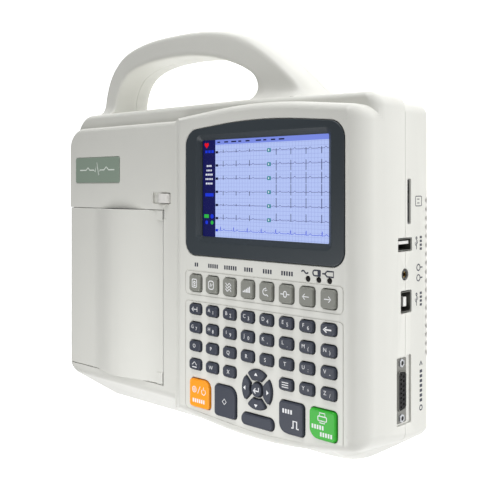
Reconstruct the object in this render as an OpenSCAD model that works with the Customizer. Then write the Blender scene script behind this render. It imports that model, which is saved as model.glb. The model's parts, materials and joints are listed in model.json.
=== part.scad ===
// Portable ECG machine with a strip printer, a keypad, a colour screen and a moulded carrying handle.
// It lies on its feet: +Z is up out of the keypad, +Y points to the handle, +X to the socket side.

/* [Casing] */
// Overall width, side to side
case_w = 300; // [298:0.5:304]
// Height of the keypad panel above the table
panel_z = 78; // [77.5:0.25:79]
// Depth of the printer deck below the keypad panel
deck_drop = 10; // [9:0.5:11]
// Height of the joint between the two casings
split_z = 30; // [29:0.5:31]
// Wall thickness of the casings
wall = 2.5; // [2:0.1:2.8]

/* [Keypad] */
// Distance between letter key columns
key_pitch_x = 16.22; // [16:0.05:16.4]
// Distance between letter key rows
key_pitch_y = 12.46; // [12:0.02:12.5]
// Height of a key above the panel
key_rise = 2; // [1.5:0.1:2.5]
// Travel of a key when pressed
key_travel = 1.2; // [0.6:0.1:1.2]

/* [Printer] */
// Width of the recording paper
paper_w = 110; // [100:1:110]
// Radius of a full paper roll
roll_r = 24; // [15:0.5:24]
// Gear module of the paper drive
gear_m = 0.7; // [0.68:0.01:0.72]

/* [Hidden] */

side_x = case_w / 2;
deck_z = panel_z - deck_drop;
ledge_z = panel_z - 18;
floor_z = 3;
gap = 0.4;
$fn = 48;

// Keypad places
key_x0 = 15.75;
key_y0 = -50;
letter_w = 10.9;
letter_l = 6.9;
soft_y = key_y0 + 17.6;
soft_l = 11.3;
pad_x = 72.7;
pad_y = -94.7;
pad_r = 12.6;
enter_r = 4.6;
// Gap between the arrow keys, and between them and the enter key
pad_web = 2.8;
pad_ring = 1.4;
row_columns = [[0, 1, 2, 3, 4, 5, 6, 7], [0, 1, 2, 3, 4, 5, 6, 7], [0, 1, 2, 3, 4, 5, 6, 7],
    [0, 1, 2, 5, 6, 7]];
// Each wide key: centre x, centre y, width, length
power_box = [20.3, -106.4, 19.1, 18.8];
function_box = [44.5, -107.3, 19.1, 20.3];
space_box = [73, -114.6, 26.9, 7.5];
copy_box = [101.2, -107, 19.1, 19.4];
start_box = [125.3, -105.9, 19.3, 17.6];
wide_boxes = [power_box, function_box, space_box, copy_box, start_box];

// Screen places: lowest x, lowest y, width, length
bezel_box = [5, -13.5, 135, 87];
glass_box = [17, -3, 112.6, 69];
light_xs = [113.1, 121.3, 129.3];
light_y = -21.9;

// Printer places
paper_y = -48;
slot_x = -31;
door_y0 = -112;
door_y1 = 16;
barrel_r = 3.2;
pin_r = 1.2;
hinge_x = barrel_r - side_x;
hinge_z = deck_z - barrel_r;
roll_x = -83;
roll_z = 36;
core_r = 7.4;
cheek_out = paper_w / 2 + 3.5;
cheek_t = 2.5;
platen_x = -37.5;
platen_z = 55;
platen_r = 5.5;
platen_teeth = 22;
idler_teeth = 30;
pinion_teeth = 12;
idler_z = platen_z - gear_m * (platen_teeth + idler_teeth) / 2;
pinion_z = idler_z - gear_m * (idler_teeth + pinion_teeth) / 2;
gear_y = 15.5;
gear_t = 3;

// Socket places on the right side
card_y = 23.9;
card_z = 25.7;
host_y = -2.3;
jack_y = -20.4;
device_y = -37;
patient_y = -90.3;
patient_z = 33;
post_span = 33.3;
board_z = 20;

// Screw bosses that join the casings
boss_places = [[-132, 72], [-132, -119], [0, 74], [0, -128], [118, -118], [134, 70]];
foot_places = [[-118, 62], [-118, -122], [118, 56], [100, -120]];

// Corner discs (x, y, radius) of the casing's outline at each level
split_outline = [[18 - side_x, 73.5, 18], [40, 85.5, 6], [side_x - 9, 80, 9], [side_x - 6, -114, 6],
    [112, -130, 8], [60, -135, 8], [13 - side_x, -130, 13]];
ledge_outline = [[18 - side_x, 73.5, 18], [40, 85.5, 6], [side_x - 9, 80, 9], [side_x - 6, -112, 6],
    [112, -121, 8], [60, -122, 8], [12 - side_x, -111, 12]];
deck_foot = [[22 - side_x, 58, 22], [-8, 72, 8], [-8, -114, 8], [12 - side_x, -111, 12]];
deck_top = [[22 - side_x, 58, 20], [-8, 72, 6], [-8, -111, 6], [12 - side_x, -108, 10]];
panel_foot = [[-7.5, 68, 10], [70, 75, 10], [side_x - 12, 66, 12], [side_x - 12, -110, 12],
    [70, -121, 10], [-7.5, -113, 10]];
panel_shoulder = [[-1, 68, 10], [70, 75, 10], [side_x - 13, 66, 11], [side_x - 13, -110, 11],
    [70, -120.5, 10], [-1, -113, 10]];
panel_top = [[8, 68, 8], [70, 75, 8], [side_x - 17, 66, 8], [side_x - 17, -111, 8], [70, -119, 8],
    [8, -114, 8]];
lower_rim = [[18 - side_x, 71, 18], [40, 83, 6], [side_x - 9, 76, 9], [side_x - 6, -114, 6],
    [112, -130, 8], [60, -135, 8], [14 - side_x, -129, 14]];
lower_bulge = [[18 - side_x, 71, 18], [40, 83, 6], [side_x - 9, 76, 9], [side_x - 6, -118, 6],
    [112, -135, 8], [60, -140, 8], [14 - side_x, -134, 14]];
lower_floor = [[18 - side_x, 71, 15], [40, 83, 3], [side_x - 9, 76, 6], [side_x - 6, -118, 3],
    [112, -134, 4], [60, -138, 4], [14 - side_x, -132, 10]];

// Rounded rectangle about the origin, as a list of points
function rounded(w, l, r, n = 4) = [for (c = [[1, 1, 0], [-1, 1, 90], [-1, -1, 180], [1, -1, 270]])
    for (i = [0:n]) [c[0] * (w / 2 - r) + r * cos(c[2] + 90 * i / n),
        c[1] * (l / 2 - r) + r * sin(c[2] + 90 * i / n)]];

// Smooth step from 0 to 1
function ease(t) = let (u = min(1, max(0, t))) u * u * (3 - 2 * u);

// Height of the printer door's outer skin above the table at x
function door_height(x) = deck_z + 6 * ease((x + 117) / 34) - 8 * ease((x + 80) / 46);

module block(x0, x1, y0, y1, z0, z1) {
    translate([x0, y0, z0]) cube([x1 - x0, y1 - y0, z1 - z0]);
}

// Skin stretched over levels, each a height and its corner discs
module loft(levels, shrink = 0) {
    hull() for (level = levels) for (disc = level[1])
        translate([disc[0], disc[1], level[0] - 0.5])
            cylinder(h = 0.5, r = max(0.8, disc[2] - shrink), $fn = 32);
}

// Outline of the handle's outside, run down into the casing
module handle_outside() {
    hull() {
        translate([-98, 106]) circle(32);
        translate([-40, 88]) circle(60);
        translate([15, 108]) circle(32);
        translate([47, 107]) circle(20);
        translate([-130, 70]) square([225, 18]);
    }
}

// Outline of the finger gap
module handle_inside() {
    hull() {
        translate([-85, 103]) circle(25);
        translate([-40, 90]) circle(41);
        translate([5, 103]) circle(25);
        translate([31, 104]) circle(17);
        translate([-110, 60]) square([152, 18]);
    }
}

// Half of the handle between two heights, with a stepped round on the face at face_z
module handle_half(root_z, face_z) {
    low = min(root_z, face_z);
    high = max(root_z, face_z);
    inner_low = face_z < root_z ? low + 5 : low;
    inner_high = face_z < root_z ? high : high - 5;
    difference() {
        union() {
            translate([0, 0, inner_low]) linear_extrude(inner_high - inner_low) handle_outside();
            translate([0, 0, low]) linear_extrude(high - low) offset(r = -2.5) handle_outside();
        }
        translate([0, 0, low - 1]) linear_extrude(high - low + 2) handle_inside();
    }
}

module boss_holes(z0, z1, r) {
    for (p = boss_places) translate([p[0], p[1], z0]) cylinder(h = z1 - z0, r = r, $fn = 24);
}

// Socket apertures through the right wall, cut in both casings
module socket_apertures() {
    block(side_x - 8, side_x + 1, card_y - 14, card_y + 14, card_z - 2.6, card_z + 1.4);
    block(side_x - 8, side_x + 1, host_y - 4.2, host_y + 4.2, board_z + 1.2, 37.6);
    translate([side_x - 8, jack_y, 30.3]) rotate([0, 90, 0]) cylinder(h = 9, r = 3.7);
    block(side_x - 8, side_x + 1, device_y - 6.9, device_y + 6.9, board_z + 1.2, 35);
    block(side_x - 8, side_x + 1, patient_y - 20.5, patient_y + 20.5, patient_z - 9, patient_z + 7);
}

module upper_skin() {
    loft([[split_z + 0.5, split_outline], [ledge_z, ledge_outline]]);
    loft([[ledge_z, deck_foot], [deck_z - 3, deck_foot], [deck_z, deck_top]]);
    loft([[ledge_z, panel_foot], [deck_z, panel_foot], [panel_z - 6, panel_shoulder], [panel_z, panel_top]]);
}

module upper_hollow() {
    loft([[split_z, split_outline], [ledge_z - wall, ledge_outline]], wall);
    loft([[ledge_z - wall, deck_foot], [deck_z - wall, deck_top]], wall);
    loft([[ledge_z - wall, panel_foot], [deck_z - wall, panel_foot],
        [panel_z - 6 - wall, panel_shoulder], [panel_z - wall, panel_top]], wall);
}

// Plan of the arrow key that points along +X, all its sides moved out by grow
module arrow_outline(grow = 0) {
    intersection() {
        difference() {
            circle(r = pad_r + grow);
            circle(r = enter_r + pad_ring - grow);
        }
        translate([(pad_web / 2 - grow) * sqrt(2), 0]) polygon([[0, 0], [20, -20], [20, 20]]);
    }
}

module key_apertures() {
    for (i = [0:7]) translate([key_x0 + i * key_pitch_x, soft_y, panel_z - 4])
        translate([-letter_w / 2 - gap, -soft_l / 2 - gap, 0])
            cube([letter_w + 2 * gap, soft_l + 2 * gap, 6]);
    for (row = [0:3]) for (i = row_columns[row])
        translate([key_x0 + i * key_pitch_x, key_y0 - row * key_pitch_y, panel_z - 4])
            translate([-letter_w / 2 - gap, -letter_l / 2 - gap, 0])
                cube([letter_w + 2 * gap, letter_l + 2 * gap, 6]);
    for (b = wide_boxes) translate([b[0] - b[2] / 2 - gap, b[1] - b[3] / 2 - gap, panel_z - 4])
        cube([b[2] + 2 * gap, b[3] + 2 * gap, 6]);
    for (turn = [0:90:270]) translate([pad_x, pad_y, panel_z - 4]) rotate(turn)
        linear_extrude(6) arrow_outline(gap);
    translate([pad_x, pad_y, panel_z - 4]) cylinder(h = 6, r = enter_r + gap);
}

module upper_casing() {
    color("#e2e4de") union() {
        difference() {
            upper_skin();
            upper_hollow();
            key_apertures();
            block(bezel_box[0] - 0.3, bezel_box[0] + bezel_box[2] + 0.3, bezel_box[1] - 0.3,
                bezel_box[1] + bezel_box[3] + 0.3, panel_z - 1.4, panel_z + 1);
            block(bezel_box[0] + 6, bezel_box[0] + bezel_box[2] - 6, bezel_box[1] + 6,
                bezel_box[1] + bezel_box[3] - 6, panel_z - 6, panel_z + 1);
            for (x = light_xs) translate([x, light_y, panel_z - 4]) cylinder(h = 6, r = 1.7);
            block(-side_x - 1, slot_x + 0.9, door_y0, door_y1, hinge_z - barrel_r - 0.6, panel_z);
            translate([hinge_x, door_y1, hinge_z]) rotate([90, 0, 0])
                cylinder(h = door_y1 - door_y0, r = barrel_r + 0.6);
            block(-42.6, -22.4, 20.2, 28.3, deck_z - 2, deck_z + 1);
            block(-38.2, -28, 22.5, 25.5, deck_z - 4, deck_z + 1);
            translate([hinge_x, door_y1 + 5, hinge_z]) rotate([90, 0, 0])
                cylinder(h = door_y1 - door_y0 + 7.5, r = pin_r);
            socket_apertures();
        }
        difference() {
            boss_holes(split_z, split_z + 16, 4);
            boss_holes(split_z - 1, split_z + 14, 1.5);
        }
        difference() {
            handle_half(split_z, split_z + 21);
            loft([[split_z + 0.5, split_outline], [ledge_z, ledge_outline]], 0.6);
        }
    }
}

module lower_casing() {
    color("#dfe1dc") difference() {
        union() {
            difference() {
                loft([[split_z, lower_rim], [18, lower_bulge], [6.5, lower_bulge],
                    [floor_z + 0.5, lower_floor]]);
                loft([[split_z + 0.1, lower_rim], [18, lower_bulge], [9, lower_bulge],
                    [floor_z + wall + 0.5, lower_floor]], wall);
            }
            for (p = boss_places) translate([p[0], p[1], floor_z]) cylinder(h = split_z - floor_z, r = 4.5);
            difference() {
                handle_half(split_z, split_z - 15);
                loft([[split_z + 0.1, lower_rim], [18, lower_bulge], [6.5, lower_bulge],
                    [floor_z + 0.5, lower_floor]], 0.6);
            }
        }
        boss_holes(floor_z - 1, split_z + 1, 1.6);
        boss_holes(floor_z - 1, floor_z + 3.2, 3.4);
        block(-12.4, 57.4, -62.4, 52.4, floor_z - 1, floor_z + wall + 1);
        block(-side_x - 1, -side_x + 8, 30, 58, 6.5, 27.5);
        translate([-side_x - 1, 66, 17]) rotate([0, 90, 0]) cylinder(h = 9, r = 7);
        socket_apertures();
    }
}

module screen_bezel() {
    color("#38424a") translate([bezel_box[0] + bezel_box[2] / 2, bezel_box[1] + bezel_box[3] / 2, panel_z - 1.2])
        difference() {
            linear_extrude(1.6) polygon(rounded(bezel_box[2], bezel_box[3], 8, 8));
            translate([73.2 - 72.5, 31.6 - 30, -1]) linear_extrude(4) polygon(rounded(108.3, 64.8, 1.5));
        }
}

module screen_window() {
    color("#b8c4f0", 0.5) block(glass_box[0], glass_box[0] + glass_box[2], glass_box[1] + 0.1,
        glass_box[1] + glass_box[3], panel_z - 2.8, panel_z - 1.3);
}

module lcd_panel() {
    color("#aab4eb") block(glass_box[0] - 2, glass_box[0] + glass_box[2] + 2, glass_box[1] - 2,
        glass_box[1] + glass_box[3] + 2, panel_z - 8.2, panel_z - 3);
}

module keypad_mat() {
    dome_h = 2.3 - key_travel;
    color("#6a6d72") {
        block(8, 136, -116.5, -24, panel_z - 7.8, panel_z - 6.8);
        for (i = [0:7]) translate([key_x0 + i * key_pitch_x, soft_y, panel_z - 6.9])
            cylinder(h = dome_h, r = 2.5, $fn = 24);
        for (row = [0:3]) for (i = row_columns[row])
            translate([key_x0 + i * key_pitch_x, key_y0 - row * key_pitch_y, panel_z - 6.9])
                cylinder(h = dome_h, r = 2.5, $fn = 24);
        for (b = wide_boxes) translate([b[0], b[1], panel_z - 6.9]) cylinder(h = dome_h, r = 3);
    }
}

module key_board() {
    color("#2f7d46") difference() {
        block(8, 136, -116.5, -22, panel_z - 9.6, panel_z - 8);
        for (x = [12, 131]) translate([x, -24.5, panel_z - 12]) cylinder(h = 6, r = 1.6);
    }
}

module main_board() {
    color("#2a6e3f") {
        difference() {
            block(62, side_x - 4, -112, 60, board_z, board_z + 1.6);
            for (p = [[67, -100], [67, 54], [140, 50]]) translate([p[0], p[1], board_z - 1])
                cylinder(h = 4, r = 1.6);
        }
        block(84, 112, -60, -32, board_z + 1.6, board_z + 4);
        block(84, 104, 0, 20, board_z + 1.6, board_z + 4);
    }
}

module printer_frame() {
    color("#55585c") {
        block(-132, -25, paper_y - cheek_out + 0.5, paper_y + cheek_out - 0.5, 9, 11);
        for (s = [-1, 1]) difference() {
            translate([-132, paper_y + s * (cheek_out - cheek_t / 2) - cheek_t / 2, 9])
                cube([107, cheek_t, 41]);
            translate([platen_x, paper_y + s * cheek_out, pinion_z]) rotate([90, 0, 0])
                cylinder(h = 12, r = 3, center = true);
        }
        for (s = [-1, 1]) translate([roll_x, paper_y + s * (paper_w / 2 - 0.5), roll_z])
            rotate([90, 0, 0]) cylinder(h = 6, r = core_r - 0.06, center = true);
        translate([platen_x, gear_y + 1, idler_z]) rotate([90, 0, 0])
            cylinder(h = gear_y + 1 - (paper_y + cheek_out - 0.5), r = 1.5);
        for (x = [-128, -60]) for (y = [-90, -6]) translate([x, y, floor_z + wall])
            cylinder(h = 9.2 - floor_z - wall, r = 3);
    }
}

module print_head() {
    color("#9a9c9e") {
        block(-31.6, -30.4, paper_y - paper_w / 2, paper_y + paper_w / 2, 48, 61);
        block(-30.5, -25.5, paper_y - paper_w / 2, paper_y + paper_w / 2, 46, 59);
        for (i = [0:5]) block(-30.5, -25.5, paper_y - 50 + i * 19, paper_y - 48 + i * 19, 46, 61);
    }
}

module stepper_motor() {
    color("#8f9296") translate([platen_x, 7.9, pinion_z]) rotate([90, 0, 0]) difference() {
        union() {
            cylinder(h = 20, r = 10.5);
            for (s = [-1, 1]) translate([s * 13, 0, 0]) cylinder(h = 1, r = 3.5);
            translate([-13, -3.5, 0]) cube([26, 7, 1]);
        }
        translate([0, 0, -1]) cylinder(h = 9, r = 1.05);
        for (s = [-1, 1]) translate([s * 13, 0, -1]) cylinder(h = 3, r = 1.6);
    }
}

module tear_bar() {
    teeth = 56;
    step = (paper_w + 2) / teeth;
    color("#c4c6c8") translate([slot_x + 0.2, paper_y - paper_w / 2 - 1, 0]) rotate([90, 0, 90])
        linear_extrude(0.6) polygon(concat([[0, deck_z - 6]], [[paper_w + 2, deck_z - 6]],
            [for (i = [teeth - 1:-1:0]) each [[(i + 1) * step, deck_z - 0.9],
                [(i + 0.5) * step, deck_z + 0.1]]], [[0, deck_z - 0.9]]));
}

module power_board() {
    color("#2f7d46") block(-118, -22, 24, 80, 12, 13.6);
    color("#c9a227") block(-92, -60, 34, 66, 13.6, 40);
    color("#3a3d40") for (i = [0:2]) translate([-48 + i * 10, 40, 13.6]) cylinder(h = 20, r = 4.5);
    color("#2f7d46") for (p = [[-112, 30], [-28, 74]]) translate([p[0], p[1], floor_z + wall])
        cylinder(h = 12 - floor_z - wall, r = 3);
}

module mains_inlet() {
    color("#26282a") difference() {
        block(-side_x, -side_x + 22, 30.4, 57.6, 6.9, 27.1);
        block(-side_x - 1, -side_x + 19, 32, 56, 8.8, 25.2);
    }
    color("#c4c6c8") for (p = [[44, 19], [37, 15], [51, 15]])
        block(-side_x + 6, -side_x + 19, p[0] - 1, p[0] + 1, p[1] - 2.5, p[1] + 2.5);
}

module earth_stud() {
    color("#c9ccd0") translate([-side_x, 66, 17]) rotate([0, 90, 0]) {
        difference() {
            cylinder(h = 12, r = 6.8);
            translate([0, 0, -1]) cylinder(h = 10, r = 5.8);
        }
        cylinder(h = 10, r = 3);
    }
}

module patient_socket() {
    color("#b9bcc0") translate([side_x, patient_y, patient_z]) {
        difference() {
            union() {
                translate([-5.5, -19.6, -6.25]) cube([1.2, 39.2, 12.5]);
                translate([-14, -12.2, -5.4]) cube([13.4, 24.4, 10.8]);
                for (s = [-1, 1]) translate([-9, s * post_span / 2, 0]) rotate([0, 90, 0])
                    cylinder(h = 8.5, r = 2.9, $fn = 6);
            }
            translate([-3, -11.2, -4.4]) cube([4, 22.4, 8.8]);
            for (s = [-1, 1]) translate([-8, s * post_span / 2, 0]) rotate([0, 90, 0])
                cylinder(h = 9, r = 1.42);
        }
    }
    color("#26282a") translate([side_x, patient_y, patient_z]) difference() {
        translate([-3.2, -10.9, -4.1]) cube([2.4, 21.8, 8.2]);
        for (i = [0:7]) translate([-4, -9.6 + i * 2.74, 1.4]) rotate([0, 90, 0])
            cylinder(h = 4, r = 0.6, $fn = 16);
        for (i = [0:6]) translate([-4, -8.2 + i * 2.74, -1.4]) rotate([0, 90, 0])
            cylinder(h = 4, r = 0.6, $fn = 16);
    }
}

module usb_host_socket() {
    color("#c4c6c8") difference() {
        block(side_x - 15, side_x - 0.5, host_y - 3.8, host_y + 3.8, board_z + 1.6, 37.2);
        block(side_x - 12, side_x, host_y - 3.2, host_y + 3.2, 24, 36.5);
    }
    color("#eeeeee") block(side_x - 12.5, side_x - 1.5, host_y - 2.3, host_y - 0.3, 25, 35.5);
}

module usb_device_socket() {
    color("#c4c6c8") difference() {
        block(side_x - 17, side_x - 0.5, device_y - 6.5, device_y + 6.5, board_z + 1.6, 34.6);
        block(side_x - 12, side_x, device_y - 5.4, device_y + 5.4, 24.4, 33.6);
    }
    color("#eeeeee") block(side_x - 12.5, side_x - 6, device_y - 3, device_y + 3, 27.2, 30.6);
}

module audio_jack() {
    color("#26282a") difference() {
        union() {
            block(side_x - 15, side_x - 3, jack_y - 5, jack_y + 5, board_z + 1.6, 35.3);
            translate([side_x - 4, jack_y, 30.3]) rotate([0, 90, 0]) cylinder(h = 4, r = 3.34);
        }
        translate([side_x - 14, jack_y, 30.3]) rotate([0, 90, 0]) cylinder(h = 15, r = 1.75);
    }
}

module card_socket() {
    color("#b9bcc0") difference() {
        block(side_x - 30, side_x - 2.6, card_y - 13.6, card_y + 13.6, board_z + 1.6, card_z + 1.2);
        block(side_x - 28, side_x + 1, card_y - 12.2, card_y + 12.2, card_z - 1.4, card_z + 0.4);
    }
}

module battery_pack() {
    color("#3d6fb0") block(-10, 55, -60, 50, floor_z + wall + 0.4, 26);
}

module battery_cover() {
    color("#dfe1dc") difference() {
        block(-12, 57, -62, 52, floor_z, floor_z + wall);
        for (i = [0:3]) block(14 + i * 5, 16 + i * 5, -56, -46, floor_z - 1, floor_z + 0.8);
    }
}

module case_screws() {
    color("#b9bcc0") for (p = boss_places) translate([p[0], p[1], floor_z + 1]) difference() {
        union() {
            cylinder(h = 2.2, r = 3, $fn = 24);
            cylinder(h = 36, r = 1.45, $fn = 24);
        }
        for (a = [0, 90]) rotate([0, 0, a]) translate([-2, -0.4, -1]) cube([4, 0.8, 1.9]);
    }
}

module feet() {
    color("#3a3d40") for (p = foot_places) translate([p[0], p[1], 0]) cylinder(h = floor_z, r = 7);
}

module name_plate() {
    color("#757f78") translate([-111.8, 46, deck_z]) linear_extrude(0.8) polygon(rounded(58, 20, 2));
}

module status_lights() {
    color("#1d2022") for (x = light_xs) translate([x, light_y, panel_z - 5]) {
        cylinder(h = 5.3, r = 1.6, $fn = 32);
        cylinder(h = 2, r = 2.2, $fn = 32);
    }
}

module speaker() {
    color("#3a3d40") translate([24, -92, floor_z + wall]) difference() {
        union() {
            cylinder(h = 4, r = 18);
            cylinder(h = 9, r = 10);
        }
        translate([0, 0, -1]) cylinder(h = 3, r = 14);
    }
}

// The door's skin: its outer line, then the same line one wall lower
module door_profile() {
    x_end = slot_x - 0.8;
    steps = 24;
    xs = [for (i = [0:steps]) hinge_x + (x_end - hinge_x) * i / steps];
    polygon(concat([for (x = xs) [x, door_height(x)]],
        [for (i = [steps:-1:0]) [xs[i], door_height(xs[i]) - wall]]));
}

module printer_door() {
    y0 = door_y0 + gap;
    y1 = door_y1 - gap;
    color("#e2e4de") difference() {
        union() {
            translate([0, y1, 0]) rotate([90, 0, 0]) linear_extrude(y1 - y0) door_profile();
            translate([hinge_x, y1, hinge_z]) rotate([90, 0, 0]) cylinder(h = y1 - y0, r = barrel_r);
            for (s = [-1, 1]) translate([platen_x - 4, paper_y + s * (cheek_out + 0.3) - 1.25, platen_z - 4])
                cube([8, 2.5, door_height(platen_x) - platen_z + 2]);
        }
        translate([hinge_x, y1 + 1, hinge_z]) rotate([90, 0, 0])
            cylinder(h = y1 - y0 + 2, r = pin_r + 0.05);
        translate([platen_x, y1 + 1, platen_z]) rotate([90, 0, 0]) cylinder(h = y1 - y0 + 2, r = 2.05);
    }
}

module door_pins() {
    color("#b9bcc0") for (y = [door_y0 + 8, door_y1 + 2.5]) translate([hinge_x, y, hinge_z])
        rotate([90, 0, 0]) cylinder(h = 10.5, r = pin_r);
}

module platen_roller() {
    color("#2b2d2f") translate([platen_x, paper_y + paper_w / 2 - 0.5, platen_z]) rotate([90, 0, 0])
        difference() {
            cylinder(h = paper_w - 1, r = platen_r);
            translate([0, 0, -1]) cylinder(h = paper_w + 1, r = 3);
        }
}

// Spur gear about the origin with a tooth at angle zero
module gear(teeth, t) {
    root = gear_m * (teeth / 2 - 1.25);
    pitch = gear_m * teeth / 2;
    tip = gear_m * (teeth / 2 + 0.9);
    slack = 0.07 / pitch * 180 / PI;
    half = 90 / teeth - slack;
    linear_extrude(t) polygon([for (i = [0:teeth - 1]) for (p = [[root, -1.5 * half],
        [pitch - 0.3 * gear_m, -1.2 * half], [pitch, -half], [pitch + 0.45 * gear_m, -0.75 * half],
        [tip, -0.42 * half], [tip, 0.42 * half], [pitch + 0.45 * gear_m, 0.75 * half], [pitch, half],
        [pitch - 0.3 * gear_m, 1.2 * half], [root, 1.5 * half]])
        let (a = i * 360 / teeth + p[1]) [p[0] * cos(a), p[0] * sin(a)]]);
}

module platen_shaft() {
    color("#c4c6c8") translate([platen_x, gear_y, platen_z]) rotate([90, 0, 0]) {
        cylinder(h = gear_y - paper_y + cheek_out + 2, r = 2);
        translate([0, 0, gear_y - paper_y - paper_w / 2 + 0.5]) cylinder(h = paper_w - 1, r = 3);
    }
    color("#e8e6dc") translate([platen_x, gear_y, platen_z]) rotate([90, 0, 0]) rotate(-90)
        gear(platen_teeth, gear_t);
}

module idler_gear() {
    color("#e8e6dc") translate([platen_x, gear_y, idler_z]) rotate([90, 0, 0]) difference() {
        rotate(90 + 180 / idler_teeth) gear(idler_teeth, gear_t);
        translate([0, 0, -1]) cylinder(h = gear_t + 2, r = 1.55);
    }
}

module motor_pinion() {
    color("#d2b45a") translate([platen_x, gear_y, pinion_z]) rotate([90, 0, 0]) {
        rotate(90) gear(pinion_teeth, gear_t);
        cylinder(h = gear_y - 1, r = 1);
    }
}

module paper_roll() {
    color("#f6f4ee") translate([roll_x, paper_y + paper_w / 2 - 0.4, roll_z]) rotate([90, 0, 0])
        difference() {
            cylinder(h = paper_w - 0.8, r = roll_r);
            translate([0, 0, -1]) cylinder(h = paper_w + 2, r = core_r);
        }
}

module latch_knob() {
    color("#e8e8e2") {
        block(-36, -24, 20.8, 27.7, deck_z - 1.7, deck_z + 2);
        block(-31.6, -28.6, 22.8, 25.2, deck_z - 6, deck_z - 1.7);
    }
}

// Key cap with a rounded outline and a retaining flange under the panel
module key_cap(x, y, w, l, r, flange = 0.7) {
    translate([x, y, panel_z - 4.4]) {
        linear_extrude(4.4 + key_rise) polygon(rounded(w, l, r));
        translate([-w / 2 - flange, -l / 2 - flange, 1]) cube([w + 2 * flange, l + 2 * flange, 0.7]);
    }
}

module soft_key(i) {
    color("#8c8d86") key_cap(key_x0 + i * key_pitch_x, soft_y, letter_w, soft_l, 2.2);
}

module letter_row(row) {
    color("#464b5a") for (i = row_columns[row])
        key_cap(key_x0 + i * key_pitch_x, key_y0 - row * key_pitch_y, letter_w, letter_l, 2);
}

module wide_key(b, tint, r = 2.6) {
    color(tint) key_cap(b[0], b[1], b[2], b[3], r);
}

// One quarter of the ring of arrow keys, centred on the direction turn
module arrow_key(turn) {
    color("#464b5a") translate([pad_x, pad_y, panel_z - 4.4]) rotate(turn)
        linear_extrude(4.4 + key_rise) arrow_outline();
}

module enter_key() {
    color("#464b5a") translate([pad_x, pad_y, panel_z - 4.4]) cylinder(h = 4.4 + key_rise, r = enter_r);
}

upper_casing();
lower_casing();
screen_bezel();
screen_window();
lcd_panel();
keypad_mat();
key_board();
main_board();
printer_frame();
print_head();
stepper_motor();
tear_bar();
power_board();
mains_inlet();
earth_stud();
patient_socket();
usb_host_socket();
usb_device_socket();
audio_jack();
card_socket();
battery_pack();
battery_cover();
case_screws();
feet();
name_plate();
status_lights();
speaker();
printer_door();
door_pins();
platen_roller();
platen_shaft();
idler_gear();
motor_pinion();
paper_roll();
latch_knob();
soft_key(0);  // soft_key_1
soft_key(1);  // soft_key_2
soft_key(2);  // soft_key_3
soft_key(3);  // soft_key_4
soft_key(4);  // soft_key_5
soft_key(5);  // soft_key_6
soft_key(6);  // soft_key_7
soft_key(7);  // soft_key_8
letter_row(0);  // letter_keys_row_1
letter_row(1);  // letter_keys_row_2
letter_row(2);  // letter_keys_row_3
letter_row(3);  // letter_keys_row_4
arrow_key(90);  // arrow_key_up
arrow_key(180);  // arrow_key_left
arrow_key(270);  // arrow_key_down
arrow_key(0);  // arrow_key_right
enter_key();
wide_key(power_box, "#ffa514");  // power_key
wide_key(function_box, "#464b5a");  // function_key
wide_key(space_box, "#464b5a");  // space_key
wide_key(copy_box, "#464b5a");  // copy_key
wide_key(start_box, "#2dbe28");  // start_key
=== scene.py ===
"""Looks of a portable ECG machine: moulded casings, screen, keypad, printer door and sockets.

Lengths are in millimetres until a mesh is made. +Z is up out of the keypad, +Y points to the
handle and +X to the socket side, as in the frame.
"""
import json
import math

import bmesh
import bpy
import numpy as np
from mathutils import Matrix, Vector


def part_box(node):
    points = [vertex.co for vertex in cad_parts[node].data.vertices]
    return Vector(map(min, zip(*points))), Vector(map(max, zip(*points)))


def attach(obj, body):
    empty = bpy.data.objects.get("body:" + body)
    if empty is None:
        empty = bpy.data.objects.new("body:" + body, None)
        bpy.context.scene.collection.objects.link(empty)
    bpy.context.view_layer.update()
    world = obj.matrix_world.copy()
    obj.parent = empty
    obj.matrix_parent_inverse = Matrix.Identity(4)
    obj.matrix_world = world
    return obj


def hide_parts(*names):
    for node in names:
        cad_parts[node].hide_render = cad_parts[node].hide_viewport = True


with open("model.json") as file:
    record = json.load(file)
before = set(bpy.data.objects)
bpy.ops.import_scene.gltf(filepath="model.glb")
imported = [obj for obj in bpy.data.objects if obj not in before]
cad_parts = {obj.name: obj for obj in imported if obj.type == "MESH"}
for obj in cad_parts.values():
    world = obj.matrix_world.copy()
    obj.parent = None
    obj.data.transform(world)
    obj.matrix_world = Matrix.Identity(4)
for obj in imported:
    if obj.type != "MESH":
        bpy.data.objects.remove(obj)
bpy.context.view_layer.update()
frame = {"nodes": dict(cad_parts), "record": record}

MM = 0.001
FOUND_BODY = {node: body for body,
    nodes in frame["record"]["behaviour"]["bodies"].items() for node in nodes}


def corners_of(node):
    """Lowest and highest corner of a CAD node in millimetres."""
    low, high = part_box(node)
    return np.array(low) / MM, np.array(high) / MM


# ---------------------------------------------------------------- sizes read from the frame
CASE_LOW, CASE_HIGH = corners_of("upper_casing")
LOWER_LOW, LOWER_HIGH = corners_of("lower_casing")
SIDE = CASE_HIGH[0]
PANEL_Z = CASE_HIGH[2]
DECK_Z = PANEL_Z - 10
LEDGE_Z = PANEL_Z - 17
SPLIT_Z = CASE_LOW[2]
FLOOR_Z = LOWER_LOW[2]
FRONT_Y = LOWER_LOW[1]
HANDLE_Y = LOWER_HIGH[1]
WALL = 2.5
KEY_TOP = corners_of("enter_key")[1][2]


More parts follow.
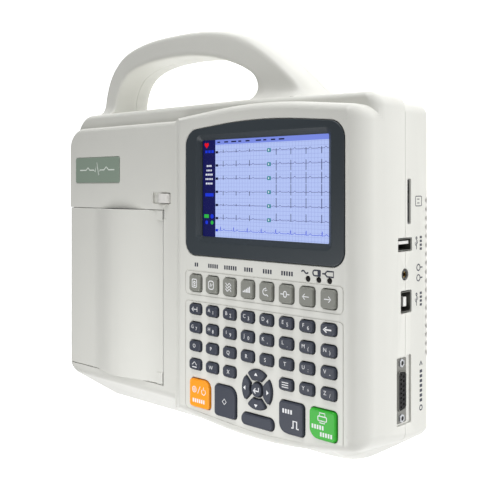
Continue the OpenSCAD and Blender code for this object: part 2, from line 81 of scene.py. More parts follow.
# ---------------------------------------------------------------- shape tools
def rounded_outline(corners, steps=12):
    """Closed anticlockwise outline through corners (x, y, radius), each turned by an arc of its radius.

    Returns the points and the outward unit normals, steps + 1 of them for every corner.
    """
    corners = np.asarray(corners, float)
    here, radius = corners[:, :2], corners[:, 2]
    into = here - np.roll(here, 1, 0)
    away = np.roll(here, -1, 0) - here
    into /= np.linalg.norm(into, axis=1)[:, None]
    away /= np.linalg.norm(away, axis=1)[:, None]
    turn = np.arctan2(into[:, 0] * away[:, 1] - into[:, 1] * away[:, 0], (into * away).sum(1))
    reach = radius * np.tan(turn / 2)
    normal_in = np.stack([into[:, 1], -into[:, 0]], 1)
    centre = here - into * reach[:, None] - normal_in * radius[:, None]
    angle = np.arctan2(normal_in[:, 1], normal_in[:, 0])[:, None] + turn[:, None] * np.linspace(0, 1,
        steps + 1)
    normals = np.stack([np.cos(angle), np.sin(angle)], -1)
    points = centre[:, None] + normals * radius[:, None, None]
    return points.reshape(-1, 2), normals.reshape(-1, 2)


def rectangle(x0, y0, x1, y1, radius):
    """Corners of a rounded rectangle for rounded_outline."""
    return [(x0, y0, radius), (x1, y0, radius), (x1, y1, radius), (x0, y1, radius)]


def ring(points, height):
    """Points of an outline lifted to a height, which is one number or one for each point."""
    return np.column_stack([points, np.broadcast_to(height, len(points))])


def loft_faces(count, size, capped=True, looped=False):
    """Quads that join count rings of size points.

    There is a flat face at each end, or the last ring is joined to the first.
    """
    rows = np.arange(count if looped else count - 1)
    i = (rows * size)[:, None]
    k = (((rows + 1) % count) * size)[:, None]
    j = np.arange(size)[None]
    n = (j + 1) % size
    faces = np.stack([i + j, i + n, k + n, k + j], -1).reshape(-1, 4).tolist()
    if capped and not looped:
        faces.append(list(range(size))[::-1])
        faces.append(list(range((count - 1) * size, count * size)))
    return faces


def new_mesh(name, points, faces):
    """Mesh object from millimetre points."""
    mesh = bpy.data.meshes.new(name)
    mesh.from_pydata((np.asarray(points, float) * MM).tolist(), [], faces)
    mesh.validate()
    obj = bpy.data.objects.new(name, mesh)
    bpy.context.scene.collection.objects.link(obj)
    return obj


def loft(name, rings, capped=True, looped=False):
    """Solid through rings, an array of ring by point by xyz."""
    rings = np.asarray(rings, float)
    return new_mesh(name, rings.reshape(-1, 3), loft_faces(len(rings), rings.shape[1], capped, looped))


def joined(name, solids):
    """One mesh from several lists of rings, each a separate closed solid."""
    points, faces, base = [], [], 0
    for rings in solids:
        rings = np.asarray(rings, float)
        points.append(rings.reshape(-1, 3))
        faces += [[v + base for v in f] for f in loft_faces(len(rings), rings.shape[1])]
        base += rings.shape[0] * rings.shape[1]
    return new_mesh(name, np.concatenate(points), faces)


def prism(corners, z0, z1, flare=0.0, flare_depth=0.0, steps=6):
    """Rings of an upright prism, whose top flare_depth opens outwards by flare."""
    points, normals = rounded_outline(corners, steps)
    rings = [ring(points, z0)]
    if flare:
        rings.append(ring(points, z1 - flare_depth))
    rings.append(ring(points + normals * flare, z1))
    return np.array(rings)


def capsule(corners, z0, z1, edge, steps=6, arc=4, taper=0.0):
    """Rings of a cap: an upright wall that leans in by taper, then a round of radius edge to a flat top."""
    points, normals = rounded_outline(corners, steps)
    turns = np.linspace(0, math.pi / 2, arc + 1)
    rings = [ring(points, z0)]
    for t in turns:
        rings.append(ring(points - normals * (taper + edge * (1 - math.cos(t))),
            z1 - edge * (1 - math.sin(t))))
    return np.array(rings)


def stroke(points, width, z0, z1, closed=False):
    """Rings of a flat line of a width, mitred at its bends, between two heights."""
    p = np.asarray(points, float)
    if closed:
        d = np.roll(p, -1, 0) - np.roll(p, 1, 0)
    else:
        d = np.gradient(p, axis=0)
    d /= np.linalg.norm(d, axis=1)[:, None] + 1e-9
    n = np.stack([-d[:, 1], d[:, 0]], 1) * width / 2
    rows = [np.column_stack([q, np.full(len(p), z)]) for q, z in
            ((p + n, z0), (p - n, z0), (p - n, z1), (p + n, z1))]
    rings = np.stack(rows, 1)[:, ::-1]
    return np.concatenate([rings, rings[:1]]) if closed else rings


def upright(solid):
    """Turns rings drawn in (u, v, height) so that their height runs along +X, u along Y and v along Z."""
    s = np.asarray(solid, float)
    return s[..., [2, 0, 1]]


def combine(base, tools, operation, keep=False):
    """Applies Boolean operations with watertight tools to base, one after another."""
    for tool in tools:
        step = base.modifiers.new("cut", "BOOLEAN")
        step.operation = operation
        step.solver = "MANIFOLD"
        step.object = tool
        graph = bpy.context.evaluated_depsgraph_get()
        result = bpy.data.meshes.new_from_object(base.evaluated_get(graph), depsgraph=graph)
        base.modifiers.clear()
        old = base.data
        base.data = result
        bpy.data.meshes.remove(old)
        if not keep:
            bpy.data.objects.remove(tool)
    return base


def smooth(obj, degrees=32):
    """Shades a piece smooth, with edges sharper than degrees kept crisp and flats kept flat."""
    mesh = obj.data
    mesh.shade_smooth()
    mesh.set_sharp_from_angle(angle=math.radians(degrees))
    weight = obj.modifiers.new("flats", "WEIGHTED_NORMAL")
    weight.keep_sharp = True
    weight.weight = 80
    return obj


def finish(obj, material, body, *replaced, degrees=32, slot=None):
    """Gives a piece its material and its body, and hides the CAD nodes that it stands for."""
    obj.data.materials.clear()
    obj.data.materials.append(material)
    if degrees:
        smooth(obj, degrees)
    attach(obj, body)
    if replaced:
        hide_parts(*replaced)
    return obj


def ease(t):
    """Smooth step from 0 to 1."""
    u = np.clip(t, 0, 1)
    return u * u * (3 - 2 * u)


# ---------------------------------------------------------------- materials
def grain_group():
    """Fine moulded grain: a height for bump and a small change of roughness."""
    group = bpy.data.node_groups.new("moulded grain", "ShaderNodeTree")
    group.interface.new_socket("Scale", in_out="INPUT", socket_type="NodeSocketFloat").default_value = 900
    group.interface.new_socket("Strength", in_out="INPUT",
        socket_type="NodeSocketFloat").default_value = 0.1
    group.interface.new_socket("Roughness", in_out="INPUT",
        socket_type="NodeSocketFloat").default_value = 0.45
    group.interface.new_socket("Normal", in_out="OUTPUT", socket_type="NodeSocketVector")
    group.interface.new_socket("Roughness", in_out="OUTPUT", socket_type="NodeSocketFloat")
    nodes, links = group.nodes, group.links
    come, go = nodes.new("NodeGroupInput"), nodes.new("NodeGroupOutput")
    place = nodes.new("ShaderNodeTexCoord")
    fine, broad = nodes.new("ShaderNodeTexNoise"), nodes.new("ShaderNodeTexNoise")
    fine.inputs["Detail"].default_value = 3
    broad.inputs["Scale"].default_value = 35
    broad.inputs["Detail"].default_value = 4
    links.new(place.outputs["Object"], fine.inputs["Vector"])
    links.new(place.outputs["Object"], broad.inputs["Vector"])
    links.new(come.outputs["Scale"], fine.inputs["Scale"])
    bump = nodes.new("ShaderNodeBump")
    bump.inputs["Distance"].default_value = 0.0002
    links.new(come.outputs["Strength"], bump.inputs["Strength"])
    links.new(fine.outputs["Fac"], bump.inputs["Height"])
    links.new(bump.outputs["Normal"], go.inputs["Normal"])
    spread = nodes.new("ShaderNodeMapRange")
    spread.inputs["To Min"].default_value = -0.06
    spread.inputs["To Max"].default_value = 0.06
    links.new(broad.outputs["Fac"], spread.inputs["Value"])
    add = nodes.new("ShaderNodeMath")
    links.new(spread.outputs["Result"], add.inputs[0])
    links.new(come.outputs["Roughness"], add.inputs[1])
    links.new(add.outputs["Value"], go.inputs["Roughness"])
    return group


def tone_group():
    """Slight unevenness of a colour, and a lighter worn tone on convex edges."""
    group = bpy.data.node_groups.new("uneven tone", "ShaderNodeTree")
    group.interface.new_socket("Color", in_out="INPUT", socket_type="NodeSocketColor")
    group.interface.new_socket("Worn", in_out="INPUT", socket_type="NodeSocketColor")
    group.interface.new_socket("Wear", in_out="INPUT", socket_type="NodeSocketFloat").default_value = 0.3
    group.interface.new_socket("Mottle", in_out="INPUT", socket_type="NodeSocketFloat").default_value = 0.04
    group.interface.new_socket("Color", in_out="OUTPUT", socket_type="NodeSocketColor")
    nodes, links = group.nodes, group.links
    come, go = nodes.new("NodeGroupInput"), nodes.new("NodeGroupOutput")
    place = nodes.new("ShaderNodeTexCoord")
    cloud = nodes.new("ShaderNodeTexNoise")
    cloud.inputs["Scale"].default_value = 60
    cloud.inputs["Detail"].default_value = 5
    links.new(place.outputs["Object"], cloud.inputs["Vector"])
    shade = nodes.new("ShaderNodeMapRange")
    shade.inputs["To Min"].default_value = 1
    links.new(cloud.outputs["Fac"], shade.inputs["Value"])
    less = nodes.new("ShaderNodeMath")
    less.operation = "SUBTRACT"
    less.inputs[0].default_value = 1
    links.new(come.outputs["Mottle"], less.inputs[1])
    links.new(less.outputs["Value"], shade.inputs["To Max"])
    tint = nodes.new("ShaderNodeMix")
    tint.data_type = "RGBA"
    tint.blend_type = "MULTIPLY"
    tint.inputs["Factor"].default_value = 1
    links.new(come.outputs["Color"], tint.inputs["A"])
    links.new(shade.outputs["Result"], tint.inputs["B"])
    curve = nodes.new("ShaderNodeNewGeometry")
    edge = nodes.new("ShaderNodeMapRange")
    edge.inputs["From Min"].default_value = 0.52
    edge.inputs["From Max"].default_value = 0.62
    links.new(curve.outputs["Pointiness"], edge.inputs["Value"])
    share = nodes.new("ShaderNodeMath")
    share.operation = "MULTIPLY"
    links.new(edge.outputs["Result"], share.inputs[0])
    links.new(come.outputs["Wear"], share.inputs[1])
    mix = nodes.new("ShaderNodeMix")
    mix.data_type = "RGBA"
    links.new(share.outputs["Value"], mix.inputs["Factor"])
    links.new(tint.outputs["Result"], mix.inputs["A"])
    links.new(come.outputs["Worn"], mix.inputs["B"])
    links.new(mix.outputs["Result"], go.inputs["Color"])
    return group


GRAIN = grain_group()
TONE = tone_group()


def linear(colour):
    """Linear light from 0-255 screen values."""
    c = np.asarray(colour, float) / 255
    return tuple(np.where(c <= 0.04045, c / 12.92, ((c + 0.055) / 1.055) ** 2.4)) + (1.0,)


def plastic(name, colour, rough=0.45, grain=0.1, scale=900, wear=0.25, mottle=0.04, **sockets):
    """Moulded plastic, rubber or paint of a colour with grain and uneven tone."""
    material = bpy.data.materials.new(name)
    material.use_nodes = True
    nodes, links = material.node_tree.nodes, material.node_tree.links
    shader = nodes["Principled BSDF"]
    tone, texture = nodes.new("ShaderNodeGroup"), nodes.new("ShaderNodeGroup")
    tone.node_tree, texture.node_tree = TONE, GRAIN
    tone.inputs["Color"].default_value = linear(colour)
    tone.inputs["Worn"].default_value = linear(np.minimum(255, np.asarray(colour) * 1.12 + 8))
    tone.inputs["Wear"].default_value = wear
    tone.inputs["Mottle"].default_value = mottle
    texture.inputs["Scale"].default_value = scale
    texture.inputs["Strength"].default_value = grain
    texture.inputs["Roughness"].default_value = rough
    links.new(tone.outputs["Color"], shader.inputs["Base Color"])
    links.new(texture.outputs["Roughness"], shader.inputs["Roughness"])
    links.new(texture.outputs["Normal"], shader.inputs["Normal"])
    for socket, value in sockets.items():
        shader.inputs[socket.replace("_", " ")].default_value = value
    return material


def glowing(name, colour, strength):
    """A surface that gives off light of one colour, for the display behind the screen's window."""
    material = bpy.data.materials.new(name)
    material.use_nodes = True
    shader = material.node_tree.nodes["Principled BSDF"]
    shader.inputs["Base Color"].default_value = linear(np.asarray(colour) * 0.2)
    shader.inputs["Roughness"].default_value = 0.4
    shader.inputs["Specular IOR Level"].default_value = 0.1
    shader.inputs["Emission Color"].default_value = linear(colour)
    shader.inputs["Emission Strength"].default_value = strength
    return material


casing_plastic = plastic("casing plastic", (217, 217, 211), 0.42, 0.12, 1100)
door_plastic = plastic("door plastic", (219, 219, 213), 0.40, 0.10, 1100)
bezel_plastic = plastic("bezel plastic", (46, 54, 60), 0.42, 0.10, 1200, wear=0.2)
slate_rubber = plastic("slate keys", (51, 56, 70), 0.5, 0.08, 1500, wear=0.35)
grey_rubber = plastic("grey keys", (134, 135, 128), 0.5, 0.08, 1500, wear=0.35)
orange_rubber = plastic("orange key", (255, 158, 0), 0.42, 0.06, 1500, wear=0.05)
green_rubber = plastic("green key", (38, 178, 34), 0.42, 0.06, 1500, wear=0.2)
white_print = plastic("white print", (235, 236, 238), 0.5, 0.02, wear=0)
dark_print = plastic("dark print", (40, 44, 62), 0.5, 0.02, wear=0)
plate_film = plastic("plate film", (138, 154, 140), 0.35, 0.05, 1500, wear=0.0)
plate_trace = plastic("plate trace", (226, 234, 226), 0.35, 0.02, wear=0)
knob_plastic = plastic("knob plastic", (228, 226, 222), 0.3, 0.04, wear=0.1)
dark_plastic = plastic("dark plastic", (24, 26, 28), 0.4, 0.1, wear=0.2)
connector_black = plastic("connector black", (13, 13, 15), 0.6, 0.05, wear=0.1, Specular_IOR_Level=0.2)
foot_rubber = plastic("foot rubber", (46, 48, 50), 0.75, 0.2, 700)
board_mask = plastic("board mask", (30, 96, 54), 0.3, 0.1, 500)
plated_steel = plastic("plated steel", (196, 196, 198), 0.28, 0.05, 1500, wear=0.2, Metallic=1.0)
dull_zinc = plastic("dull zinc", (120, 120, 116), 0.45, 0.08, 1500, wear=0.3, Metallic=1.0)
brushed_steel = plastic("brushed steel", (178, 180, 184), 0.38, 0.12, 2500, wear=0.2, Metallic=1.0)
brass_metal = plastic("turned brass", (212, 178, 100), 0.3, 0.05, 1500, wear=0.2, Metallic=1.0)
gear_nylon = plastic("gear nylon", (232, 230, 220), 0.42, 0.05, 900)
roll_paper = plastic("roll paper", (246, 243, 236), 0.8, 0.25, 2600, wear=0.0)
battery_wrap = plastic("battery wrap", (46, 92, 160), 0.3, 0.05, 600, Coat_Weight=0.4)
well_plastic = plastic("printer well plastic", (74, 77, 82), 0.5, 0.12, 900)
white_insert = plastic("white insert", (232, 232, 228), 0.4, 0.05, wear=0.1)

screen_field = glowing("screen field", (186, 203, 253), 1.03)
screen_navy = glowing("screen navy", (24, 26, 92), 0.9)
screen_grid = glowing("screen grid", (156, 168, 230), 1.0)
screen_bar = glowing("screen top bar", (128, 146, 238), 1.0)
screen_ink = glowing("screen ink", (30, 32, 64), 1.0)
screen_blue = glowing("screen blue", (30, 60, 235), 0.9)
screen_teal = glowing("screen teal", (44, 140, 150), 1.0)
screen_white = glowing("screen white", (235, 240, 255), 1.0)
screen_red = glowing("screen red", (240, 16, 36), 1.0)
screen_green = glowing("screen green", (50, 190, 70), 1.0)
screen_trace = glowing("screen trace", (104, 108, 160), 1.0)


# ---------------------------------------------------------------- casing
def profile_between(low, high, z0, z1, z, steps=12):
    """Points and normals of an outline that runs straight from low at z0 to high at z1."""
    a, _ = rounded_outline(low, steps)
    b, n = rounded_outline(high, steps)
    return a + (b - a) * (z - z0) / (z1 - z0), n


def capped_skin(name, low, high, z0, z1, across, down, inset=0.0, steps=12, arc=10):
    """Skin that rises from outline low at z0 towards high at z1 and turns over into a flat top.

    The turn is a quarter ellipse, across wide and down deep, both functions of the outward normal.
    """
    points, normals = profile_between(low, high, z0, z1, z0, steps)
    a, b = across(normals), down(normals)
    rings = [ring(points - normals * inset, z0 - (1 if inset else 0))]
    for t in np.linspace(0, math.pi / 2, arc + 1):
        z = z1 - b * (1 - math.sin(t))
        share = ((z - z0) / (z1 - z0))[:, None]
        here, _ = rounded_outline(low, steps)
        there, normals = rounded_outline(high, steps)
        turn = a * (1 - math.cos(t))
        rings.append(ring(here + (there - here) * share - normals * (turn + inset)[:, None], z - inset))
    return loft(name, rings)


def evenly(value):
    """The same amount for every normal."""
    return lambda normals: np.full(len(normals), float(value))


def towards_right(base, right, left=None):
    """An amount that grows from base to right where the normal faces +X, and to left where it faces -X."""
    left = base if left is None else left

    def amount(normals):
        """base + (right - base) x squared where x > 0, base + (left - base) x squared where x < 0."""
        facing_right = np.clip(normals[:, 0], 0, 1) ** 2
        facing_left = np.clip(-normals[:, 0], 0, 1) ** 2
        return base + (right - base) * facing_right + (left - base) * facing_left

    return amount


STEP_X = -17.5
REAR_RIGHT, REAR_LEFT = 88.8, 91.5
TUB_LOW = [(-SIDE, -143.5, 13), (103, -143.5, 70), (SIDE, -120, 6), (SIDE, REAR_RIGHT, 9),
    (45, REAR_LEFT, 150),
           (-SIDE, REAR_LEFT, 18)]
TUB_HIGH = [(-SIDE, -123, 12), (103, -124, 70), (SIDE, -117, 6), (SIDE, REAR_RIGHT, 9),
    (45, REAR_LEFT, 150),
            (-SIDE, REAR_LEFT, 18)]
DECK_LOW = [(-SIDE, -143.4, 13), (4, -143.4, 4), (4, 80, 4), (-SIDE, 80, 16)]
DECK_HIGH = [(-SIDE, -118.5, 10), (4, -118.5, 4), (4, 80, 4), (-SIDE, 80, 16)]
PANEL_LOW = [(STEP_X, -143, 3), (73, -143.3, 150), (SIDE - 0.05, -122, 10), (SIDE - 0.05, 80, 10),
    (70, 88, 400),
             (STEP_X, 80.05, 3)]
PANEL_HIGH = [(STEP_X, -120.0, 3), (73, -129.5, 400), (SIDE - 0.05, -118, 10), (SIDE - 0.05, 80, 10),
    (70, 88, 400),
              (STEP_X, 80.05, 3)]
LOWER_RIM = [(-SIDE, -143.5, 13), (103, -143.5, 70), (SIDE, -120, 6), (SIDE, REAR_RIGHT - 3.8, 8),
             (45, REAR_LEFT - 3.5, 150), (-SIDE, REAR_LEFT - 3.5, 18)]
LOWER_BULGE = [(-SIDE, FRONT_Y, 13), (106, FRONT_Y, 60), (SIDE, -121, 6), (SIDE, REAR_RIGHT - 3.8, 8),
               (45, REAR_LEFT - 3.5, 150), (-SIDE, REAR_LEFT - 3.5, 18)]


def step_cutter(inset):
    """Everything above the gentle double curve that climbs from the deck to the keypad panel."""
    t = np.linspace(0, 1, 24)
    slope = np.stack([STEP_X * (1 - t), DECK_Z + 10 * ease(t)], 1) - [0, inset]
    frame_line = [[-0.001, DECK_Z + 40], [STEP_X - 20, DECK_Z + 40], [STEP_X - 20, DECK_Z - inset]]
    return loft("step", along_y(np.concatenate([slope, frame_line]), [-200, 200]))


def upper_solids(inset):
    """Tub with its rear ledge, printer deck and keypad panel, shrunk by inset."""
    panel = capped_skin("panel", PANEL_LOW, PANEL_HIGH, SPLIT_Z, PANEL_Z, towards_right(5, 10, 0.6),
                        towards_right(7, 16, 7), inset)
    combine(panel, [step_cutter(inset)], "DIFFERENCE")
    return [
        capped_skin("tub", TUB_LOW, TUB_HIGH, SPLIT_Z, LEDGE_Z, towards_right(4, 6), towards_right(5, 10),
        inset),
        capped_skin("deck", DECK_LOW, DECK_HIGH, SPLIT_Z, DECK_Z, towards_right(3.5, 3.5, 1.4),
                    towards_right(3.5, 3.5, 1.6), inset),
        panel,
    ]


def lower_solid(inset):
    """Lower casing from its rim, over the bulge at the front, round to its floor."""
    bulge_z = 18
    rim, _ = rounded_outline(LOWER_RIM)
    bulge, normals = rounded_outline(LOWER_BULGE)
    edge = 3.0 + 5.0 * np.clip(-normals[:, 1], 0, 1) ** 2
    rings = [ring(rim - normals * inset, SPLIT_Z + (1 if inset else 0)),
        ring(bulge - normals * inset, bulge_z)]
    for t in np.linspace(0, math.pi / 2, 9):
        z = FLOOR_Z + edge * (1 - math.sin(t)) + inset
        rings.append(ring(bulge - normals * (inset + edge * (1 - math.cos(t)))[:, None], z))
    return loft("lower", rings[::-1])


def blended_curve(points, count):
    """Smooth curve through points (Catmull-Rom, centripetal-free), sampled evenly in length."""
    p = np.asarray(points, float)
    p = np.concatenate([[2 * p[0] - p[1]], p, [2 * p[-1] - p[-2]]])
    t = np.linspace(0, 1, 24, endpoint=False)[:, None]
    a, b, c, d = p[:-3, None], p[1:-2, None], p[2:-1, None], p[3:, None]
    square, cube = 2 * a - 5 * b + 4 * c - d, 3 * b - a - 3 * c + d
    curve = 0.5 * (2 * b + (c - a) * t + square * t ** 2 + cube * t ** 3)
    curve = np.concatenate([curve.reshape(-1, 2), p[-2:-1]])
    length = np.concatenate([[0], np.cumsum(np.linalg.norm(np.diff(curve, axis=0), axis=1))])
    even = np.linspace(0, length[-1], count)
    return np.stack([np.interp(even, length, curve[:, k]) for k in (0, 1)], 1)


HANDLE_OUTSIDE = [(-127.7, 70), (-127.7, 97), (-125.8, 110), (-119.3, 124.0), (-109.0, 134.6),
    (-94.6, 142.0), (-70, 146.7),
                  (-40, HANDLE_Y - 0.1), (-12, 147.0), (12, 143.6), (33, 137.2), (51, 127.5), (69, 114),
                  (92, 94), (114, 74)]
HANDLE_INSIDE = [(-110.8, 70), (-110.3, 97), (-107.5, 109.2), (-99.8, 119.2), (-87, 125.3), (-68, 128.8),
    (-44, 129.8),
                 (-20, 128.7), (0, 125.5), (17.5, 120.6), (31, 115.2), (40.5, 109.2), (44.3, 101.5),
                 (42.2, 94.5), (33, 84)]


FOOT_RISE, FOOT_REACH = 8.0, 3.2


def handle_solid():
    """Arched handle: a superellipse carried between its inner and outer lines.

    It swells upwards at its two feet.
    """
    count, around = 90, 64
    outer, inner = blended_curve(HANDLE_OUTSIDE, count), blended_curve(HANDLE_INSIDE, count)
    z_mid, half_deep = 33.5, 16.8
    turn = np.linspace(0, 2 * math.pi, around, endpoint=False)
    c, s = np.cos(turn), np.sin(turn)
    wide = np.sign(c) * np.abs(c) ** np.where(c > 0, 2 / 5.0, 2 / 9.0)
    deep = np.sign(s) * np.abs(s) ** np.where(c > 0, 2 / 3.4, 2 / 9.0)
    middle, half = (outer + inner) / 2, (outer - inner) / 2
    rings = np.empty((count, around, 3))
    rings[..., :2] = middle[:, None] + half[:, None] * wide[None, :, None]
    swell = FOOT_RISE * np.exp(-np.clip(rings[..., 1] - REAR_LEFT + 1, 0, None) / FOOT_REACH)
    rings[..., 2] = z_mid + half_deep * deep + np.clip(deep, 0, 1) * swell
    return loft("handle", rings)


def slab(x0, y0, z0, x1, y1, z1):
    """Rings of a plain block, used for cutting."""
    return prism(rectangle(x0, y0, x1, y1, 0.01), z0, z1, steps=1)


# ---------------------------------------------------------------- keypad layout, from the CAD keys
LETTERS_AT = [[0, 1, 2, 3, 4, 5, 6, 7], [0, 1, 2, 3, 4, 5, 6, 7], [0, 1, 2, 3, 4, 5, 6, 7],
    [0, 1, 2, 5, 6, 7]]
FLANGE = 0.7


def key_box(node):
    """Plan box of a key's cap: its node's box without the retaining flange."""
    low, high = corners_of(node)
    return low[0] + FLANGE, low[1] + FLANGE, high[0] - FLANGE, high[1] - FLANGE


SOFT = [key_box(f"soft_key_{i + 1}") for i in range(8)]
ROW_Y = [key_box(f"letter_keys_row_{r + 1}")[1::2] for r in range(4)]
WIDE = {n: key_box(n) for n in ("power_key", "function_key", "space_key", "copy_key", "start_key")}
enter_low, enter_high = corners_of("enter_key")
PAD = (enter_low[:2] + enter_high[:2]) / 2
ENTER_R = (enter_high[0] - enter_low[0]) / 2
PAD_R = corners_of("arrow_key_right")[1][0] - PAD[0]
WEB, RING_GAP = 2.8, 1.4
ARROWS = {"right": 0.0, "up": math.pi / 2, "left": math.pi, "down": 1.5 * math.pi}


def letter_box(row, column):
    """Plan box of one letter key."""
    x0, x1 = SOFT[column][0], SOFT[column][2]
    y0, y1 = ROW_Y[row]
    return x0, y0, x1, y1


def wide_corners(name, grow=0.0):
    """Corners of a wide key, whose corners next to its neighbours are turned by larger arcs."""
    x0, y0, x1, y1 = WIDE[name]
    small, large = 2.4, 6.2
    radii = {  # front left, front right, rear right, rear left
        "power_key": (small, small, 5.5, small),
        "function_key": (small, small, large, small),
        "space_key": (3.4, 3.4, 3.4, 3.4),
        "copy_key": (large, small, small, small),
        "start_key": (large, small, small, small),
    }[name]
    spots = [(x0 - grow, y0 - grow), (x1 + grow, y0 - grow), (x1 + grow, y1 + grow), (x0 - grow, y1 + grow)]
    return [(x, y, r + grow) for (x, y), r in zip(spots, radii)]


def circle_corners(x, y, r):
    """Four corners whose arcs make a circle."""
    return rectangle(x - r, y - r, x + r, y + r, r * 0.9999)


def all_key_corners(grow):
    """Outlines of every key, grown by grow."""
    found = [rectangle(b[0] - grow, b[1] - grow, b[2] + grow, b[3] + grow, 2.0 + grow) for b in SOFT]
    for r in range(4):
        for c in LETTERS_AT[r]:
            b = letter_box(r, c)
            found.append(rectangle(b[0] - grow, b[1] - grow, b[2] + grow, b[3] + grow, 2.1 + grow))
    found += [wide_corners(n, grow) for n in WIDE]
    found.append(circle_corners(PAD[0], PAD[1], ENTER_R + grow))
    return found


# ---------------------------------------------------------------- side sockets, from the CAD nodes
def side_centre(node):
    """Middle of a node's box in (Y, Z)."""
    low, high = corners_of(node)
    return (low[1:] + high[1:]) / 2


CARD_Y, CARD_Z = side_centre("card_socket")[0], 25.7
HOST_Y, HOST_Z = side_centre("usb_host_socket")[0], 30.2
JACK_Y, JACK_Z = side_centre("audio_jack")[0], 30.3
DEVICE_Y, DEVICE_Z = side_centre("usb_device_socket")[0], 29.0
PATIENT_Y, PATIENT_Z = side_centre("patient_socket")


def side_cutters():
    """Openings through the right wall, each with a small chamfer, drawn in (Y, Z) and turned to +X."""
    def hole(y, z, wide, tall, r, deep=14, flare=0.35):
        """A rounded box that reaches from deep inside the wall to just outside it."""
        s = prism(rectangle(y - wide / 2, z - tall / 2, y + wide / 2, z + tall / 2, r), SIDE - deep,
            SIDE + 0.5,
                  flare, 0.9)
        return upright(s)
    return [
        hole(CARD_Y, CARD_Z, 27.4, 3.6, 0.6, 9),
        hole(HOST_Y, HOST_Z, 8.2, 15.2, 0.6),
        upright(prism(circle_corners(JACK_Y, JACK_Z, 3.6), SIDE - 6, SIDE + 0.5, 0.35, 0.9, steps=10)),
        hole(DEVICE_Y, DEVICE_Z, 13.6, 11.8, 0.8),
        hole(PATIENT_Y, PATIENT_Z - 1.6, 41.5, 15.6, 1.0, 7.5, 0.2),
    ]


def ring_groove(corners, width, deep, steps=8):
    """Closed ring of a rectangular groove that follows an outline on the panel."""
    points, normals = rounded_outline(corners, steps)
    a, b = points + normals * width / 2, points - normals * width / 2
    return np.array([ring(a, PANEL_Z - deep), ring(a, PANEL_Z + 1), ring(b, PANEL_Z + 1),
        ring(b, PANEL_Z - deep)])


BEZEL = [(5, -13.5, 9), (140, -13.5, 9), (140, 70.6, 11), (72.5, 76.4, 400), (5, 70.6, 11)]


def grown(corners, amount):
    """The same outline moved outwards by amount."""
    return [(x, y, r + amount) for x, y, r in np.asarray(offset_corners(corners, amount))]


def offset_corners(corners, amount):
    """Corner points of an outline whose sides all move outwards by amount, radii unchanged."""
    p = np.asarray(corners, float)
    here = p[:, :2]
    into = here - np.roll(here, 1, 0)
    away = np.roll(here, -1, 0) - here
    into /= np.linalg.norm(into, axis=1)[:, None]
    away /= np.linalg.norm(away, axis=1)[:, None]
    n1 = np.stack([into[:, 1], -into[:, 0]], 1)
    n2 = np.stack([away[:, 1], -away[:, 0]], 1)
    mitre = (n1 + n2) / (1 + (n1 * n2).sum(1))[:, None]
    return np.column_stack([here + mitre * amount, p[:, 2]])


GROUPS = [
    [(5.0, -40.3, 3), (139.4, -40.3, 3), (139.4, -24.2, 3), (5.0, -24.2, 3)],
    [(5.0, -118.2, 3), (72, -122.2, 300), (139.4, -118.2, 3), (139.4, -44.6, 3), (5.0, -44.6, 3)],
]
PLATE = corners_of("name_plate")
DOOR_LOW, DOOR_HIGH = corners_of("printer_door")
DOOR_Y = (DOOR_LOW[1] - 0.4, DOOR_HIGH[1] + 0.4)
PINS_LOW, PINS_HIGH = corners_of("door_pins")
HINGE_X = (PINS_LOW[0] + PINS_HIGH[0]) / 2
HINGE_Z = (PINS_LOW[2] + PINS_HIGH[2]) / 2
PIN_R = (PINS_HIGH[2] - PINS_LOW[2]) / 2
BARREL_R = HINGE_X + SIDE
SLOT_X = -31.0
KNOB_LOW, KNOB_HIGH = corners_of("latch_knob")


def casing_cutters():
    """Holes cut into the upper casing from above: keys, arrows, lights, the name plate's bed and the latch's
    recess.
    """
    solids = [prism(c, PANEL_Z - 7, PANEL_Z + 0.01, 0.25, 0.4, 6) for c in all_key_corners(0.4)]
    solids += [arrow_rings(turn, 0.4, (PANEL_Z - 7, PANEL_Z + 0.01)) for turn in ARROWS.values()]
    solids += [prism(circle_corners(x, y, 1.85), PANEL_Z - 6, PANEL_Z + 0.01, 0.3, 0.3, 8) for x,
        y in LIGHTS]
    low, high = PLATE
    solids.append(prism(rectangle(low[0] - 0.3, low[1] - 0.3, high[0] + 0.3, high[1] + 0.3, 1.6),
        DECK_Z - 0.5,
                        DECK_Z + 0.01, 0.35, 0.35))
    recess = rectangle(KNOB_LOW[0] - 7.3, KNOB_LOW[1] - 0.7, KNOB_HIGH[0] + 0.9, KNOB_HIGH[1] + 0.7, 1.0)
    solids.append(prism(recess, DECK_Z - 2.3, DECK_Z + 0.01, 0.5, 0.5))
    return solids


LIGHTS = [(x, -21.9) for x in (113.1, 121.3, 129.3)]


